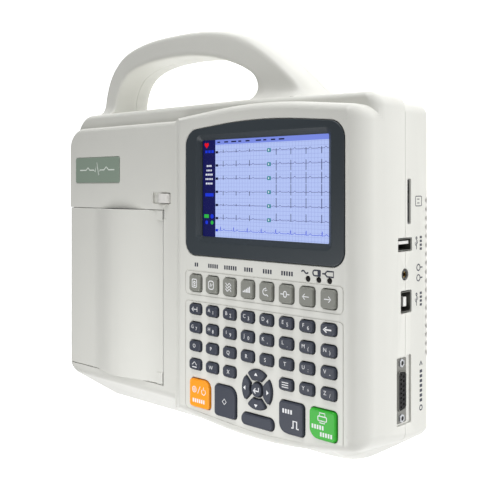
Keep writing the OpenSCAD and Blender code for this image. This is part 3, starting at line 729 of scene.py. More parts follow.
def make_casings():
    """Both casing halves: solids joined, then hollows and openings taken out, each kept to its side."""
    upper = upper_solids(0)
    shell = combine(upper[0], upper[1:], "UNION")
    handle = handle_solid()
    combine(shell, [handle], "UNION", keep=True)
    over = loft("over", slab(-400, -400, SPLIT_Z + 0.15, 400, 400, 200))
    combine(shell, [over], "INTERSECT")
    hollow = upper_solids(WALL)
    inside = combine(hollow[0], hollow[1:], "UNION")
    combine(shell, [inside], "DIFFERENCE")
    cuts = joined("cuts", casing_cutters())
    combine(shell, [cuts], "DIFFERENCE")
    combine(shell, [loft("bezel seat", prism(grown(BEZEL, 0.4), PANEL_Z - 2.4, PANEL_Z + 0.01, 0.5, 0.5,
        10))], "DIFFERENCE")
    combine(shell, [loft("opening", prism(rectangle(11, -7.5, 134, 67, 4), PANEL_Z - 8.6, PANEL_Z - 2))],
        "DIFFERENCE")
    for corners in GROUPS:
        combine(shell, [loft("groove", ring_groove(corners, 0.85, 0.4), looped=True)], "DIFFERENCE")
    well = loft("well", slab(-SIDE - 5, DOOR_Y[0], HINGE_Z - BARREL_R - 0.6, SLOT_X + 0.7, DOOR_Y[1],
        DECK_Z + 20))
    combine(shell, [well], "DIFFERENCE")
    trough = loft("trough", along_y(circle_points(HINGE_X, HINGE_Z, BARREL_R + 0.6), [DOOR_Y[0],
        DOOR_Y[1]]))
    combine(shell, [trough], "DIFFERENCE")
    channel = [(-33.2, 9.8, 0.5), (-27.6, 9.2, 0.5), (-24.9, 19.6, 0.5), (-29.9, 19.6, 0.5)]
    combine(shell, [loft("channel", prism(channel, DECK_Z - 0.7, DECK_Z + 0.01, 0.3, 0.3))], "DIFFERENCE")
    sockets = joined("sockets", side_cutters())
    combine(shell, [sockets], "DIFFERENCE", keep=True)
    finish(shell, casing_plastic, "machine", "upper_casing", degrees=34)
    shell.name = "casing_upper_shell"

    base = lower_solid(0)
    combine(base, [handle], "UNION")
    below = loft("below", slab(-400, -400, -50, 400, 400, SPLIT_Z - 0.15))
    combine(base, [below], "INTERSECT")
    combine(base, [lower_solid(WALL)], "DIFFERENCE")
    combine(base, [sockets], "DIFFERENCE")
    combine(base, [joined("scallops", rib_cutters())], "DIFFERENCE")
    combine(base, [joined("hidden side", hidden_side_cutters())], "DIFFERENCE")
    finish(base, casing_plastic, "machine", "lower_casing", degrees=34)
    base.name = "casing_lower_shell"


def circle_points(u, v, r, count=48):
    """Anticlockwise circle in the plane of its two coordinates."""
    t = np.linspace(0, 2 * math.pi, count, endpoint=False)
    return np.stack([u + r * np.cos(t), v + r * np.sin(t)], 1)


def along_y(points, stations, insets=None, normals=None):
    """Rings of a profile in (X, Z) carried along Y through stations, drawn in by insets along its normals."""
    rings = []
    for k, y in enumerate(stations):
        p = points if insets is None else points - normals * insets[k]
        rings.append(np.column_stack([p[:, 0], np.full(len(p), y), p[:, 1]]))
    return np.array(rings)[::-1]


def rib_cutters():
    """Scallops across the lower right edge: short cylinders laid at 45 degrees over the edge."""
    pitch, radius, count = 5.6, 2.2, 18
    solids = []
    for i in range(count):
        y = -71 + i * pitch
        t = np.linspace(0, 2 * math.pi, 16, endpoint=False)
        u, v = radius * np.cos(t), radius * np.sin(t)
        start, step = np.array([SIDE - 6.5, y, FLOOR_Z - 5.65]), np.array([11.0, 0, 11.0])
        across = np.array([-math.sqrt(0.5), 0, math.sqrt(0.5)])
        rim = start + u[:, None] * np.array([0, 1, 0]) + v[:, None] * across
        solids.append(np.array([rim, rim + step])[:, ::-1])
    return solids


def hidden_side_cutters():
    """Battery bay, mains inlet, earth stud and screw holes of the lower casing."""
    low, high = corners_of("battery_cover")
    solids = [prism(rectangle(low[0] - 0.3, low[1] - 0.3, high[0] + 0.3, high[1] + 0.3, 1.5), FLOOR_Z - 1,
        FLOOR_Z + 4)]
    low, high = corners_of("mains_inlet")
    solids.append(slab(-SIDE - 1, low[1] - 0.2, low[2] - 0.2, -SIDE + 6, high[1] + 0.2, high[2] + 0.2))
    low, high = corners_of("earth_stud")
    middle = (low[1:] + high[1:]) / 2
    solids.append(upright(prism(circle_corners(middle[0], middle[1], 7), -SIDE - 1, -SIDE + 6, steps=10)))
    for x, y in BOSSES:
        solids.append(prism(circle_corners(x, y, 3.4), FLOOR_Z - 1, FLOOR_Z + 4, steps=8))
    return solids


BOSSES = [(-132, 72), (-132, -119), (0, 74), (0, -128), (118, -118), (134, 70)]


# ---------------------------------------------------------------- printer door, latch and slot
def door_height(x):
    """Height of the door's outer skin: level, up over the paper roll, then down to the slot."""
    return DECK_Z + 6 * ease((x + 117) / 34) - 7.2 * ease((x + 80) / 46)


def make_door():
    """Door skin with a barrel round its hinge, its two end ears and the shaft's brackets."""
    x_end = SLOT_X - 1.5
    xs = np.linspace(HINGE_X, x_end - 0.8, 60)
    over = np.stack([xs, door_height(xs)], 1)
    nose = np.stack([x_end - 0.8 + 0.8 * np.sin(np.linspace(0.3, math.pi / 2, 4)),
                     door_height(x_end) - 0.8 + 0.8 * np.cos(np.linspace(0.3, math.pi / 2, 4))], 1)
    below = np.array([[x_end, door_height(x_end) - WALL]])
    back = np.stack([xs[::-1], door_height(xs[::-1]) - WALL], 1)[:-3]
    turn = np.linspace(0.22, -1.5 * math.pi, 28)
    barrel = np.stack([HINGE_X + BARREL_R * np.cos(turn), HINGE_Z + BARREL_R * np.sin(turn)], 1)
    loop = np.concatenate([over[1:], nose, below, back, barrel])[::-1]
    d = np.roll(loop, -1, 0) - np.roll(loop, 1, 0)
    d /= np.linalg.norm(d, axis=1)[:, None]
    normals = np.stack([d[:, 1], -d[:, 0]], 1)
    y0, y1 = DOOR_LOW[1], DOOR_HIGH[1]
    edge = 0.7
    t = np.linspace(0, math.pi / 2, 5)
    stations = np.concatenate([y0 + edge * (1 - np.cos(t)), (y1 - edge * (1 - np.cos(t)))[::-1]])
    insets = np.concatenate([edge * (1 - np.sin(t)), (edge * (1 - np.sin(t)))[::-1]])
    door = loft("printer_door_skin", along_y(loop, stations, insets, normals))
    foot, _ = rounded_outline(DECK_LOW)
    head, _ = rounded_outline(DECK_HIGH)
    rise = (DECK_Z + 12 - SPLIT_Z) / (DECK_Z - SPLIT_Z)
    combine(door, [loft("trim", [ring(foot, SPLIT_Z), ring(foot + (head - foot) * rise, DECK_Z + 12)])],
        "INTERSECT")
    pins = loft("pins", along_y(circle_points(HINGE_X, HINGE_Z, PIN_R + 0.1, 24), [y0 - 1, y0 + 11]))
    combine(door, [pins], "DIFFERENCE")
    pins = loft("pins", along_y(circle_points(HINGE_X, HINGE_Z, PIN_R + 0.1, 24), [y1 - 11, y1 + 1]))
    combine(door, [pins], "DIFFERENCE")
    ears = []
    for low, high in ((y0 + 0.05, y0 + 8.6), (y1 - 7.5, y1 - 0.05)):
        ears.append(capsule(rectangle(SLOT_X - 7.6, low, SLOT_X - 0.9, high, 0.7), door_height(SLOT_X) - 2,
                            DECK_Z + 0.1, 0.6))
    combine(door, [joined("ears", ears)], "UNION")
    platen = corners_of("platen_shaft")
    axis_x = (corners_of("platen_roller")[0][0] + corners_of("platen_roller")[1][0]) / 2
    axis_z = (corners_of("platen_roller")[0][2] + corners_of("platen_roller")[1][2]) / 2
    middle = (corners_of("platen_roller")[0][1] + corners_of("platen_roller")[1][1]) / 2
    lugs = []
    for s in (-1, 1):
        y = middle + s * 58.8
        lugs.append(slab(axis_x - 4, y - 1.25, axis_z - 4, axis_x + 4, y + 1.25, DECK_Z - 2.5))
    combine(door, [joined("lugs", lugs)], "UNION")
    shaft = loft("shaft", along_y(circle_points(axis_x, axis_z, 2.05, 32), [platen[0][1] - 5,
        platen[1][1] + 5]))
    combine(door, [shaft], "DIFFERENCE")
    finish(door, door_plastic, "door", "printer_door", degrees=34)


def make_latch():
    """Slider knob with a crowned, barrel-like top that runs across its travel."""
    low, high = KNOB_LOW, KNOB_HIGH
    xs = np.linspace(-1, 1, 25)
    x = (low[0] + high[0]) / 2 + xs * (high[0] - low[0]) / 2
    z = DECK_Z - 1.2 + (high[2] - DECK_Z + 1.0) * np.sqrt(np.clip(1 - xs ** 4, 0, 1))
    top = np.stack([x, z], 1)
    loop = np.concatenate([top[::-1], [[x[0], DECK_Z - 1.7], [x[-1], DECK_Z - 1.7]]])
    d = np.roll(loop, -1, 0) - np.roll(loop, 1, 0)
    normals = np.stack([d[:, 1], -d[:, 0]], 1) / (np.linalg.norm(d, axis=1)[:, None] + 1e-9)
    t = np.linspace(0, math.pi / 2, 4)
    edge = 0.5
    stations = np.concatenate([low[1] + edge * (1 - np.cos(t)), (high[1] - edge * (1 - np.cos(t)))[::-1]])
    insets = np.concatenate([edge * (1 - np.sin(t)), (edge * (1 - np.sin(t)))[::-1]])
    knob = loft("latch_slider", along_y(loop, stations, insets, normals))
    finish(knob, knob_plastic, "latch", "latch_knob", degrees=40)


def make_tear_bar():
    """Toothed steel strip along the slot."""
    low, high = corners_of("tear_bar")
    teeth = 74
    y = np.linspace(low[1], high[1], teeth * 2 + 1)
    top = high[2] - 0.1 - 0.7 * (np.arange(len(y)) % 2)
    outline = np.concatenate([np.stack([y, top], 1)[::-1], [[low[1], low[2]], [high[1], low[2]]]])
    rings = [np.column_stack([np.full(len(outline), x), outline]) for x in (low[0], high[0])]
    finish(loft("tear_strip", np.array(rings)), brushed_steel, "machine", "tear_bar", degrees=20)


# ---------------------------------------------------------------- screen
WINDOW = (19.1, -0.7, 127.4, 63.9)


def make_bezel():
    """Charcoal surround: a ring whose section rises, crosses flat and slopes down to the window."""
    outer, normals = rounded_outline(BEZEL, 14)
    x0, y0, x1, y1 = WINDOW
    inner, inward = rounded_outline([(x0, y0, 1), (x1, y0, 1), (x1, y1, 1), ((x0 + x1) / 2, y1 + 0.02, 1),
        (x0, y1, 1)], 14)
    top = PANEL_Z + 0.35
    rings = [ring(outer, PANEL_Z - 2.2), ring(outer, top - 0.7)]
    for t in np.linspace(0.3, math.pi / 2, 4):
        rings.append(ring(outer - normals * 0.7 * (1 - math.cos(t)), top - 0.7 * (1 - math.sin(t))))
    slope = 3.2
    rings.append(ring(inner + inward * (slope + 0.8), top))
    rings.append(ring(inner + inward * slope, top - 0.15))
    rings.append(ring(inner + inward * 0.5, top - 2.1))
    rings.append(ring(inner, top - 2.5))
    rings.append(ring(inner, PANEL_Z - 3.0))
    finish(loft("bezel_surround", np.array(rings), looped=True), bezel_plastic, "machine", "screen_bezel",
        degrees=34)


def beat(kind, amount):
    """One heartbeat of a lead, as height against time from 0 to 1."""
    t = np.linspace(0, 1, 60)

    def bump(at, wide, tall):
        """A bell curve: tall * exp(-((t - at) / wide) squared)."""
        return tall * np.exp(-((t - at) / wide) ** 2)

    p, r, s, wave = bump(0.22, 0.035, 0.12), bump(0.40, 0.012, 1.0), bump(0.43, 0.012, -0.28), bump(0.66,
        0.055, 0.2)
    shape = p + r * kind[0] + s * kind[1] + wave * kind[2]
    return t, shape * amount


def make_screen():
    """Lit display: field with a fine grid, side bar, top bar, six rows of leads and a rhythm strip."""
    x0, y0, x1, y1 = WINDOW
    low, high = corners_of("lcd_panel")
    base = low[2]
    face = high[2] - 0.5
    layer = 0.05
    body = "machine"
    pad = 1.2
    field = joined("display_field", [prism(rectangle(x0 - pad, y0 - pad, x1 + pad, y1 + pad, 0.5), base,
        face)])
    finish(field, screen_field, body, "lcd_panel", degrees=0)
    bar_x = x0 + 11.5
    bar_y = y1 - 3.2
    side_bar = joined("display_side_bar", [prism(rectangle(x0 - pad, y0 - pad, bar_x, y1 + pad, 0.02), face,
        face + layer)])
    finish(side_bar, screen_navy, body, degrees=0)
    top_bar = joined("display_top_bar", [prism(rectangle(bar_x, bar_y, x1 + pad, y1 + pad, 0.02), face,
        face + layer)])
    finish(top_bar, screen_bar, body, degrees=0)
    lines = []
    step = 2.5
    for x in np.arange(bar_x + step, x1, step):
        lines.append(stroke([(x, y0 - pad), (x, bar_y)], 0.16, face, face + layer * 0.5))
    for y in np.arange(y0 + 0.8, bar_y, step):
        lines.append(stroke([(bar_x, y), (x1 + pad, y)], 0.16, face, face + layer * 0.5))
    finish(joined("display_grid", lines), screen_grid, body, degrees=0)
    rows = np.linspace(bar_y - 5.0, y0 + 12.5, 6)
    kinds = [(0.5, 0.4, 1.0), (1.0, 0.8, 1.2), (0.7, 0.6, 0.8), (-0.8, -0.3, -0.8), (0.35, 0.4, 0.5),
        (0.9, 0.9, 1.0)]
    right = [(0.3, 2.6, 1.4), (0.8, 3.4, 1.6), (1.2, 2.8, 1.5), (1.7, 1.6, 1.2), (1.8, 0.8, 1.0),
        (1.5, 0.4, 0.9)]
    half_x = (bar_x + x1) / 2
    traces, spikes, labels, middle_labels, zeros = [], [], [], [], []
    period, peak = 12.0, 0.4
    for row, y in enumerate(rows):
        for start, end, kind in ((bar_x + 2.7, half_x, kinds[row]), (half_x + 1.2, x1 + pad, right[row])):
            beats = int((end - start) / period)
            xs, ys = [], []
            for b in range(beats):
                t, h = beat((0, 0, kind[2]), 3.4)
                xs.append(start + (b + t * 0.999) * period)
                ys.append(y + h)
                x = start + (b + peak) * period
                spikes.append(stroke([(x, y - 1.2 * kind[1]), (x, y + 2.9 * kind[0])], 0.42, face + layer,
                    face + layer * 2))
            xs.append([end])
            ys.append([y])
            traces.append(stroke(np.stack([np.concatenate(xs), np.concatenate(ys)], 1), 0.3, face,
                face + layer))
        labels.append(prism(rectangle(bar_x + 0.3, y - 0.8, bar_x + 2.7, y + 0.8, 0.02), face + layer,
            face + layer * 2))
        middle_labels.append(prism(rectangle(half_x - 1.5, y - 1.2, half_x + 1.5, y + 1.2, 0.02),
            face + layer * 2,
                                   face + layer * 3))
        zeros.append(stroke([(half_x - 0.2, y - 0.6), (half_x - 0.2, y + 0.6)], 0.8, face + layer * 3,
            face + layer * 3.6))
    finish(joined("display_traces", traces), screen_trace, body, degrees=0)
    finish(joined("display_spikes", spikes), screen_ink, body, degrees=0)
    finish(joined("display_lead_marks", labels), screen_ink, body, degrees=0)
    finish(joined("display_middle_marks", middle_labels), screen_teal, body, degrees=0)
    finish(joined("display_mark_lines", zeros), screen_white, body, degrees=0)
    xs, ys = [], []
    strip_y = y0 + 4.5
    for b in range(8):
        t, h = beat((1.0, 0.6, 1.2), 3.6)
        xs.append(bar_x + (b + t * 0.999) * (x1 + pad - bar_x) / 8)
        ys.append(strip_y + h)
    strip = [stroke(np.stack([np.concatenate(xs), np.concatenate(ys)], 1), 0.26, face, face + layer)]
    strip.append(prism(rectangle(bar_x + 0.3, strip_y - 0.8, bar_x + 2.4, strip_y + 0.8, 0.02), face,
        face + layer * 2))
    cx = (x0 + bar_x) / 2
    for k in range(3):
        strip.append(stroke([(cx - 4 + k * 3, y1 - 7.6), (cx - 1.8 + k * 3, y1 - 7.6)], 1.8, face + layer,
            face + layer * 2))
    strip.append(stroke([(cx - 4, y0 + 28), (cx + 4, y0 + 28)], 2.2, face + layer, face + layer * 2))
    strip.append(prism(circle_corners(cx + 2.6, y0 + 13.6, 1.5), face + layer, face + layer * 2))
    strip.append(prism(circle_corners(cx - 2.6, y0 + 9.4, 1.3), face + layer, face + layer * 2))
    finish(joined("display_rhythm_and_icons", strip), screen_blue, body, degrees=0)
    t = np.linspace(0, 2 * math.pi, 40, endpoint=False)
    heart = np.stack([16 * np.sin(t) ** 3,
        13 * np.cos(t) - 5 * np.cos(2 * t) - 2 * np.cos(3 * t) - np.cos(4 * t)], 1)
    heart = heart[::-1] * 0.13 + np.array([cx - 2.6, y1 - 3.2])
    finish(loft("display_heart", np.array([ring(heart, face + layer), ring(heart, face + layer * 2)])),
        screen_red,
           body, degrees=0)
    notes = []
    for k, (y, n, w) in enumerate([(17.2, 3, 1.2), (20.2, 4, 0.9), (23.0, 4, 1.3), (26.0, 5, 1.0), (29.0, 4,
        1.2)]):
        for i in range(n):
            x = cx - n * (w + 0.5) / 2 + i * (w + 0.5)
            notes.append(stroke([(x, y1 - y), (x + w, y1 - y)], 1.2 - 0.1 * (k % 2), face + layer,
                face + layer * 2))
    finish(joined("display_readings", notes), screen_white, body, degrees=0)
    battery = [stroke([(cx - 5, y0 + 13.6), (cx - 0.6, y0 + 13.6)], 2.4, face + layer, face + layer * 2),
               prism(circle_corners(cx + 2.6, y0 + 9.4, 1.3), face + layer, face + layer * 2)]
    finish(joined("display_battery", battery), screen_green, body, degrees=0)
    marks = []
    for k in range(9):
        x = bar_x + 2 + k * 6.5 + (2.5 if k > 4 else 0)
        marks.append(stroke([(x, bar_y + 1.6), (x + 2.6 + (k % 3), bar_y + 1.6)], 0.9, face + layer,
            face + layer * 2))
    finish(joined("display_top_notes", marks), screen_ink, body, degrees=0)


def make_window():
    """Clear cover over the display, thin enough not to shift what is behind it."""
    x0, y0, x1, y1 = WINDOW
    low, high = corners_of("screen_window")
    glass = bpy.data.materials.new("window acrylic")
    glass.use_nodes = True
    shader = glass.node_tree.nodes["Principled BSDF"]
    shader.inputs["Base Color"].default_value = (0.01, 0.01, 0.012, 1)
    shader.inputs["Roughness"].default_value = 0.06
    shader.inputs["IOR"].default_value = 1.2
    shader.inputs["Alpha"].default_value = 0.06
    cover = joined("window_cover", [capsule(rectangle(x0 - 1, y0 - 1, x1 + 1, y1 + 1, 1), low[2], high[2],
        0.2)])
    finish(cover, glass, "machine", "screen_window", degrees=30)


# ---------------------------------------------------------------- keys
def key_solid(corners, arc=4):
    """Rings of one key cap with its wall, a round shoulder, a flat rim and a shallow hollow top."""
    points, normals = rounded_outline(corners, 6)
    edge = 0.75
    rings = [ring(points, PANEL_Z - 4.2)]
    for t in np.linspace(0, math.pi / 2, arc + 1):
        rings.append(ring(points - normals * (0.12 + edge * (1 - math.cos(t))),
            KEY_TOP - edge * (1 - math.sin(t))))
    rings.append(ring(points - normals * (edge + 0.42), KEY_TOP))
    rings.append(ring(points - normals * (edge + 0.75), KEY_TOP - 0.14))
    return np.array(rings)


def make_keys():
    """Every key cap, one piece for each CAD key."""
    for i, b in enumerate(SOFT):
        cap = joined(f"soft_cap_{i + 1}", [key_solid(rectangle(*b, 2.0))])
        finish(cap, grey_rubber, FOUND_BODY[f"soft_key_{i + 1}"], f"soft_key_{i + 1}", degrees=50)
    for r in range(4):
        node = f"letter_keys_row_{r + 1}"
        caps = joined(f"letter_caps_{r + 1}", [key_solid(rectangle(*letter_box(r, c),
            2.1)) for c in LETTERS_AT[r]])
        finish(caps, slate_rubber, FOUND_BODY[node], node, degrees=50)
    tints = {"power_key": orange_rubber, "start_key": green_rubber}
    for node in WIDE:
        cap = joined(node.replace("_key", "_cap"), [key_solid(wide_corners(node))])
        finish(cap, tints.get(node, slate_rubber), FOUND_BODY[node], node, degrees=50)
    cap = joined("enter_cap", [key_solid(circle_corners(PAD[0], PAD[1], ENTER_R))])
    finish(cap, slate_rubber, FOUND_BODY["enter_key"], "enter_key", degrees=50)
    for name, turn in ARROWS.items():
        finish(arrow_cap(name, turn), slate_rubber, FOUND_BODY[f"arrow_key_{name}"],
               f"arrow_key_{name}", degrees=50)


def arrow_outline(grow):
    """Plan of the arrow key that points along +X, ends parallel to the diagonals, with its normals."""
    outer, inner, web = PAD_R + grow, ENTER_R + RING_GAP - grow, WEB / 2 - grow
    wide, narrow = math.pi / 4 - math.asin(web / outer), math.pi / 4 - math.asin(web / inner)
    t = np.linspace(-1, 1, 25)
    loop = np.concatenate([np.stack([outer * np.cos(t * wide), outer * np.sin(t * wide)], 1),
                           np.stack([inner * np.cos(t * narrow), -inner * np.sin(t * narrow)], 1)])
    loop = rounded_loop(loop, 1.0)
    d = np.roll(loop, -1, 0) - np.roll(loop, 1, 0)
    d /= np.linalg.norm(d, axis=1)[:, None]
    return loop, np.stack([d[:, 1], -d[:, 0]], 1)


def arrow_rings(turn, grow, heights, insets=None):
    """Rings of an arrow key turned by an angle about the pad, at heights and drawn in by insets."""
    loop, normals = arrow_outline(grow)
    insets = insets if insets is not None else [0] * len(heights)
    rings = np.array([ring(loop - normals * inset, z) for z, inset in zip(heights, insets)])
    c, s = math.cos(turn), math.sin(turn)
    x, y = rings[..., 0].copy(), rings[..., 1].copy()
    rings[..., 0], rings[..., 1] = PAD[0] + c * x - s * y, PAD[1] + s * x + c * y
    return rings


def arrow_cap(name, turn):
    """Arrow key with the same shoulder as the other keys."""
    edge = 0.7
    t = np.linspace(0, math.pi / 2, 5)
    heights = [PANEL_Z - 4.2, *(KEY_TOP - edge * (1 - np.sin(t)))]
    insets = [0, *(edge * (1 - np.cos(t)))]
    return joined(f"arrow_cap_{name}", [arrow_rings(turn, 0, heights, insets)])


def rounded_loop(loop, radius):
    """Closed loop with its corners softened: sampled evenly and averaged over a window of about radius."""
    closed = np.concatenate([loop, loop[:1]])
    length = np.concatenate([[0], np.cumsum(np.linalg.norm(np.diff(closed, axis=0), axis=1))])
    even = np.linspace(0, length[-1], 120, endpoint=False)
    p = np.stack([np.interp(even, length, closed[:, k]) for k in (0, 1)], 1)
    width = max(1, int(radius / (length[-1] / 120)))
    for _ in range(3):
        p = np.mean([np.roll(p, k, 0) for k in range(-width, width + 1)], 0)
    return p


# ---------------------------------------------------------------- printed marks
PRINT_Z = KEY_TOP - 0.14


def glyph(text, x, y, size, z):
    """Mesh of a printed sign with its middle at x, y."""
    curve = bpy.data.curves.new("sign", "FONT")
    curve.body = text
    curve.size = size * MM
    curve.extrude = 0.02 * MM
    curve.align_x = "CENTER"
    curve.align_y = "CENTER"
    curve.resolution_u = 3
    obj = bpy.data.objects.new("sign", curve)
    bpy.context.scene.collection.objects.link(obj)
    graph = bpy.context.evaluated_depsgraph_get()
    mesh = bpy.data.meshes.new_from_object(obj.evaluated_get(graph), depsgraph=graph)
    bpy.data.objects.remove(obj)
    mesh.transform(Matrix.Translation(Vector((x, y, z + 0.03)) * MM))
    return mesh


def printed(name, strokes, signs, material, body):
    """One piece of print from strokes and signs."""
    build = bmesh.new()
    if strokes:
        part = joined("strokes", strokes)
        build.from_mesh(part.data)
        bpy.data.objects.remove(part)
    for mesh in signs:
        build.from_mesh(mesh)
        bpy.data.meshes.remove(mesh)
    bmesh.ops.remove_doubles(build, verts=build.verts, dist=1e-7)
    bmesh.ops.recalc_face_normals(build, faces=build.faces)
    mesh = bpy.data.meshes.new(name)
    build.to_mesh(mesh)
    build.free()
    obj = bpy.data.objects.new(name, mesh)
    bpy.context.scene.collection.objects.link(obj)
    return finish(obj, material, body, degrees=0)


def mark(points, width, z, closed=False):
    """A printed line 0.05 mm thick along points."""
    return stroke(points, width, z, z + 0.05, closed)


def arc(x, y, r, a0, a1, count=14):
    """Points of an arc in degrees."""
    t = np.radians(np.linspace(a0, a1, count))
    return np.stack([x + r * np.cos(t), y + r * np.sin(t)], 1)


def dashes(x, y, count, wide, tall, z, gap=0.45):
    """Short upright bars in a row about x: a stand-in for a word."""
    step = wide + gap
    left = x - step * (count - 1) / 2
    return [mark([(left + i * step, y - tall / 2), (left + i * step, y + tall / 2)], wide,
        z) for i in range(count)]


def make_key_print():
    """Letters, figures and plain pictograms on the keys."""
    z = PRINT_Z
    rows = [["", "A1", "B2", "C3", "D4", "E5", "F6", ""], ["G7", "H8", "I9", "J0", "K,", "L.", "M(", "N)"],
            ["O", "P", "Q", "R", "S", "T", "U:", "V-"], ["", "W", "X", "", "Y*", "Z/"]]
    for r in range(4):
        signs, strokes = [], []
        for c, text in zip(LETTERS_AT[r], rows[r]):
            x0, y0, x1, y1 = letter_box(r, c)
            x, y = (x0 + x1) / 2, (y0 + y1) / 2
            if len(text) == 1:
                signs.append(glyph(text, x - 0.2, y + 0.1, 3.6, z))
            elif text:
                signs.append(glyph(text[0], x - 1.9, y + 0.5, 3.4, z))
                signs.append(glyph(text[1], x + 1.8, y - 0.7, 3.4, z))
            elif (r, c) == (0, 0):
                strokes += [mark([(x - 2.6, y), (x + 2.2, y)], 0.5, z),
                    mark([(x - 0.8, y + 1.5), (x - 2.6, y), (x - 0.8, y - 1.5)], 0.5, z),
                            mark([(x + 2.6, y - 1.6), (x + 2.6, y + 1.6)], 0.5, z)]
            elif (r, c) == (0, 7):
                strokes += [mark([(x - 2.0, y), (x + 2.9, y)], 0.9, z),
                    mark([(x - 0.6, y + 1.6), (x - 2.9, y), (x - 0.6, y - 1.6)], 0.8, z)]
            elif (r, c) == (3, 0):
                strokes += [mark([(x - 2.2, y - 0.2), (x, y + 2.0), (x + 2.2, y - 0.2)], 0.5, z),
                            mark([(x - 2.2, y - 1.6), (x + 2.2, y - 1.6)], 0.6, z)]
            else:
                strokes += [mark([(x - 2.6, y + k * 1.4), (x + 2.6, y + k * 1.4)], 0.5, z) for k in (-1, 0,
                    1)]
        printed(f"letter_print_{r + 1}", strokes, signs, white_print,
            FOUND_BODY[f"letter_keys_row_{r + 1}"])
    for i, b in enumerate(SOFT):
        x, y = (b[0] + b[2]) / 2, (b[1] + b[3]) / 2
        w = 0.62
        if i == 0:
            shapes = [mark(rounded_outline(rectangle(x - 2.2, y - 2.7, x + 2.2, y + 2.7, 0.8), 3)[0], w, z,
                True),
                      mark(arc(x, y + 0.5, 0.8, 0, 360, 12), 0.7, z),
                      mark([(x - 1.1, y - 1.4), (x + 1.1, y - 1.4)], 0.8, z)]
        elif i == 1:
            shapes = [mark(rounded_outline(rectangle(x - 2.4, y - 2.7, x + 2.4, y + 2.7, 1.6), 4)[0], w, z,
                True),
                      mark([(x - 1, y - 1.2), (x - 0.4, y + 1.3), (x + 0.3, y - 0.8), (x + 1.2, y + 0.8)],
                      w, z)]
        elif i == 2:
            wave = np.linspace(-2.6, 2.6, 22)
            shapes = [mark(np.stack([x + wave, y + k * 1.9 + 0.7 * np.sin(wave * 1.8)], 1), 0.55,
                z) for k in (-1, 0, 1)]
        elif i == 3:
            shapes = [mark([(x - 2.6 + k * 1.35, y - 1.9), (x - 2.6 + k * 1.35, y - 1.0 + k * 0.75)], 1.0,
                z) for k in range(5)]
        elif i == 4:
            shapes = [mark(arc(x, y, 2.0, 40, 300, 20), w, z),
                mark([(x + 0.2, y + 2.6), (x + 1.6, y + 1.2), (x - 0.4, y + 0.6)], w, z),
                      mark([(x + 1.0, y - 1.6), (x + 2.4, y - 2.6)], w, z)]
        elif i == 5:
            shapes = [mark([(x - 3.6, y), (x - 1.2, y)], w, z), mark([(x + 1.2, y), (x + 3.6, y)], w, z),
                      mark(rounded_outline(rectangle(x - 1.1, y - 1.7, x + 1.1, y + 1.7, 0.9), 4)[0], w, z,
                      True)]
        else:
            s = -1 if i == 6 else 1
            shapes = [mark([(x - 2.4 * s, y), (x + 2.4 * s, y)], 0.55, z),
                      mark([(x + 0.7 * s, y + 1.7), (x + 2.5 * s, y), (x + 0.7 * s, y - 1.7)], 0.55, z)]
        printed(f"soft_print_{i + 1}", shapes, [], white_print, FOUND_BODY[f"soft_key_{i + 1}"])
    for name, a in ARROWS.items():
        d, n = np.array([math.cos(a), math.sin(a)]), np.array([-math.sin(a), math.cos(a)])
        tip = np.array(PAD) + d * 10.9
        shape = np.array([tip, tip - d * 1.9 + n * 1.5, tip - d * 1.9 - n * 1.5])
        solid = np.array([ring(shape, KEY_TOP), ring(shape, KEY_TOP + 0.05)])
        printed(f"arrow_print_{name}", [solid], [], white_print, FOUND_BODY[f"arrow_key_{name}"])
    x, y = PAD
    printed("enter_print", [mark([(x + 2.2, y + 1.7), (x + 2.2, y - 0.6), (x - 1.6, y - 0.6)], 0.8, z),
                            mark([(x - 0.4, y + 1.0), (x - 2.2, y - 0.6), (x - 0.4, y - 2.2)], 0.8, z)], [],
            white_print, FOUND_BODY["enter_key"])
    wide_print(z)


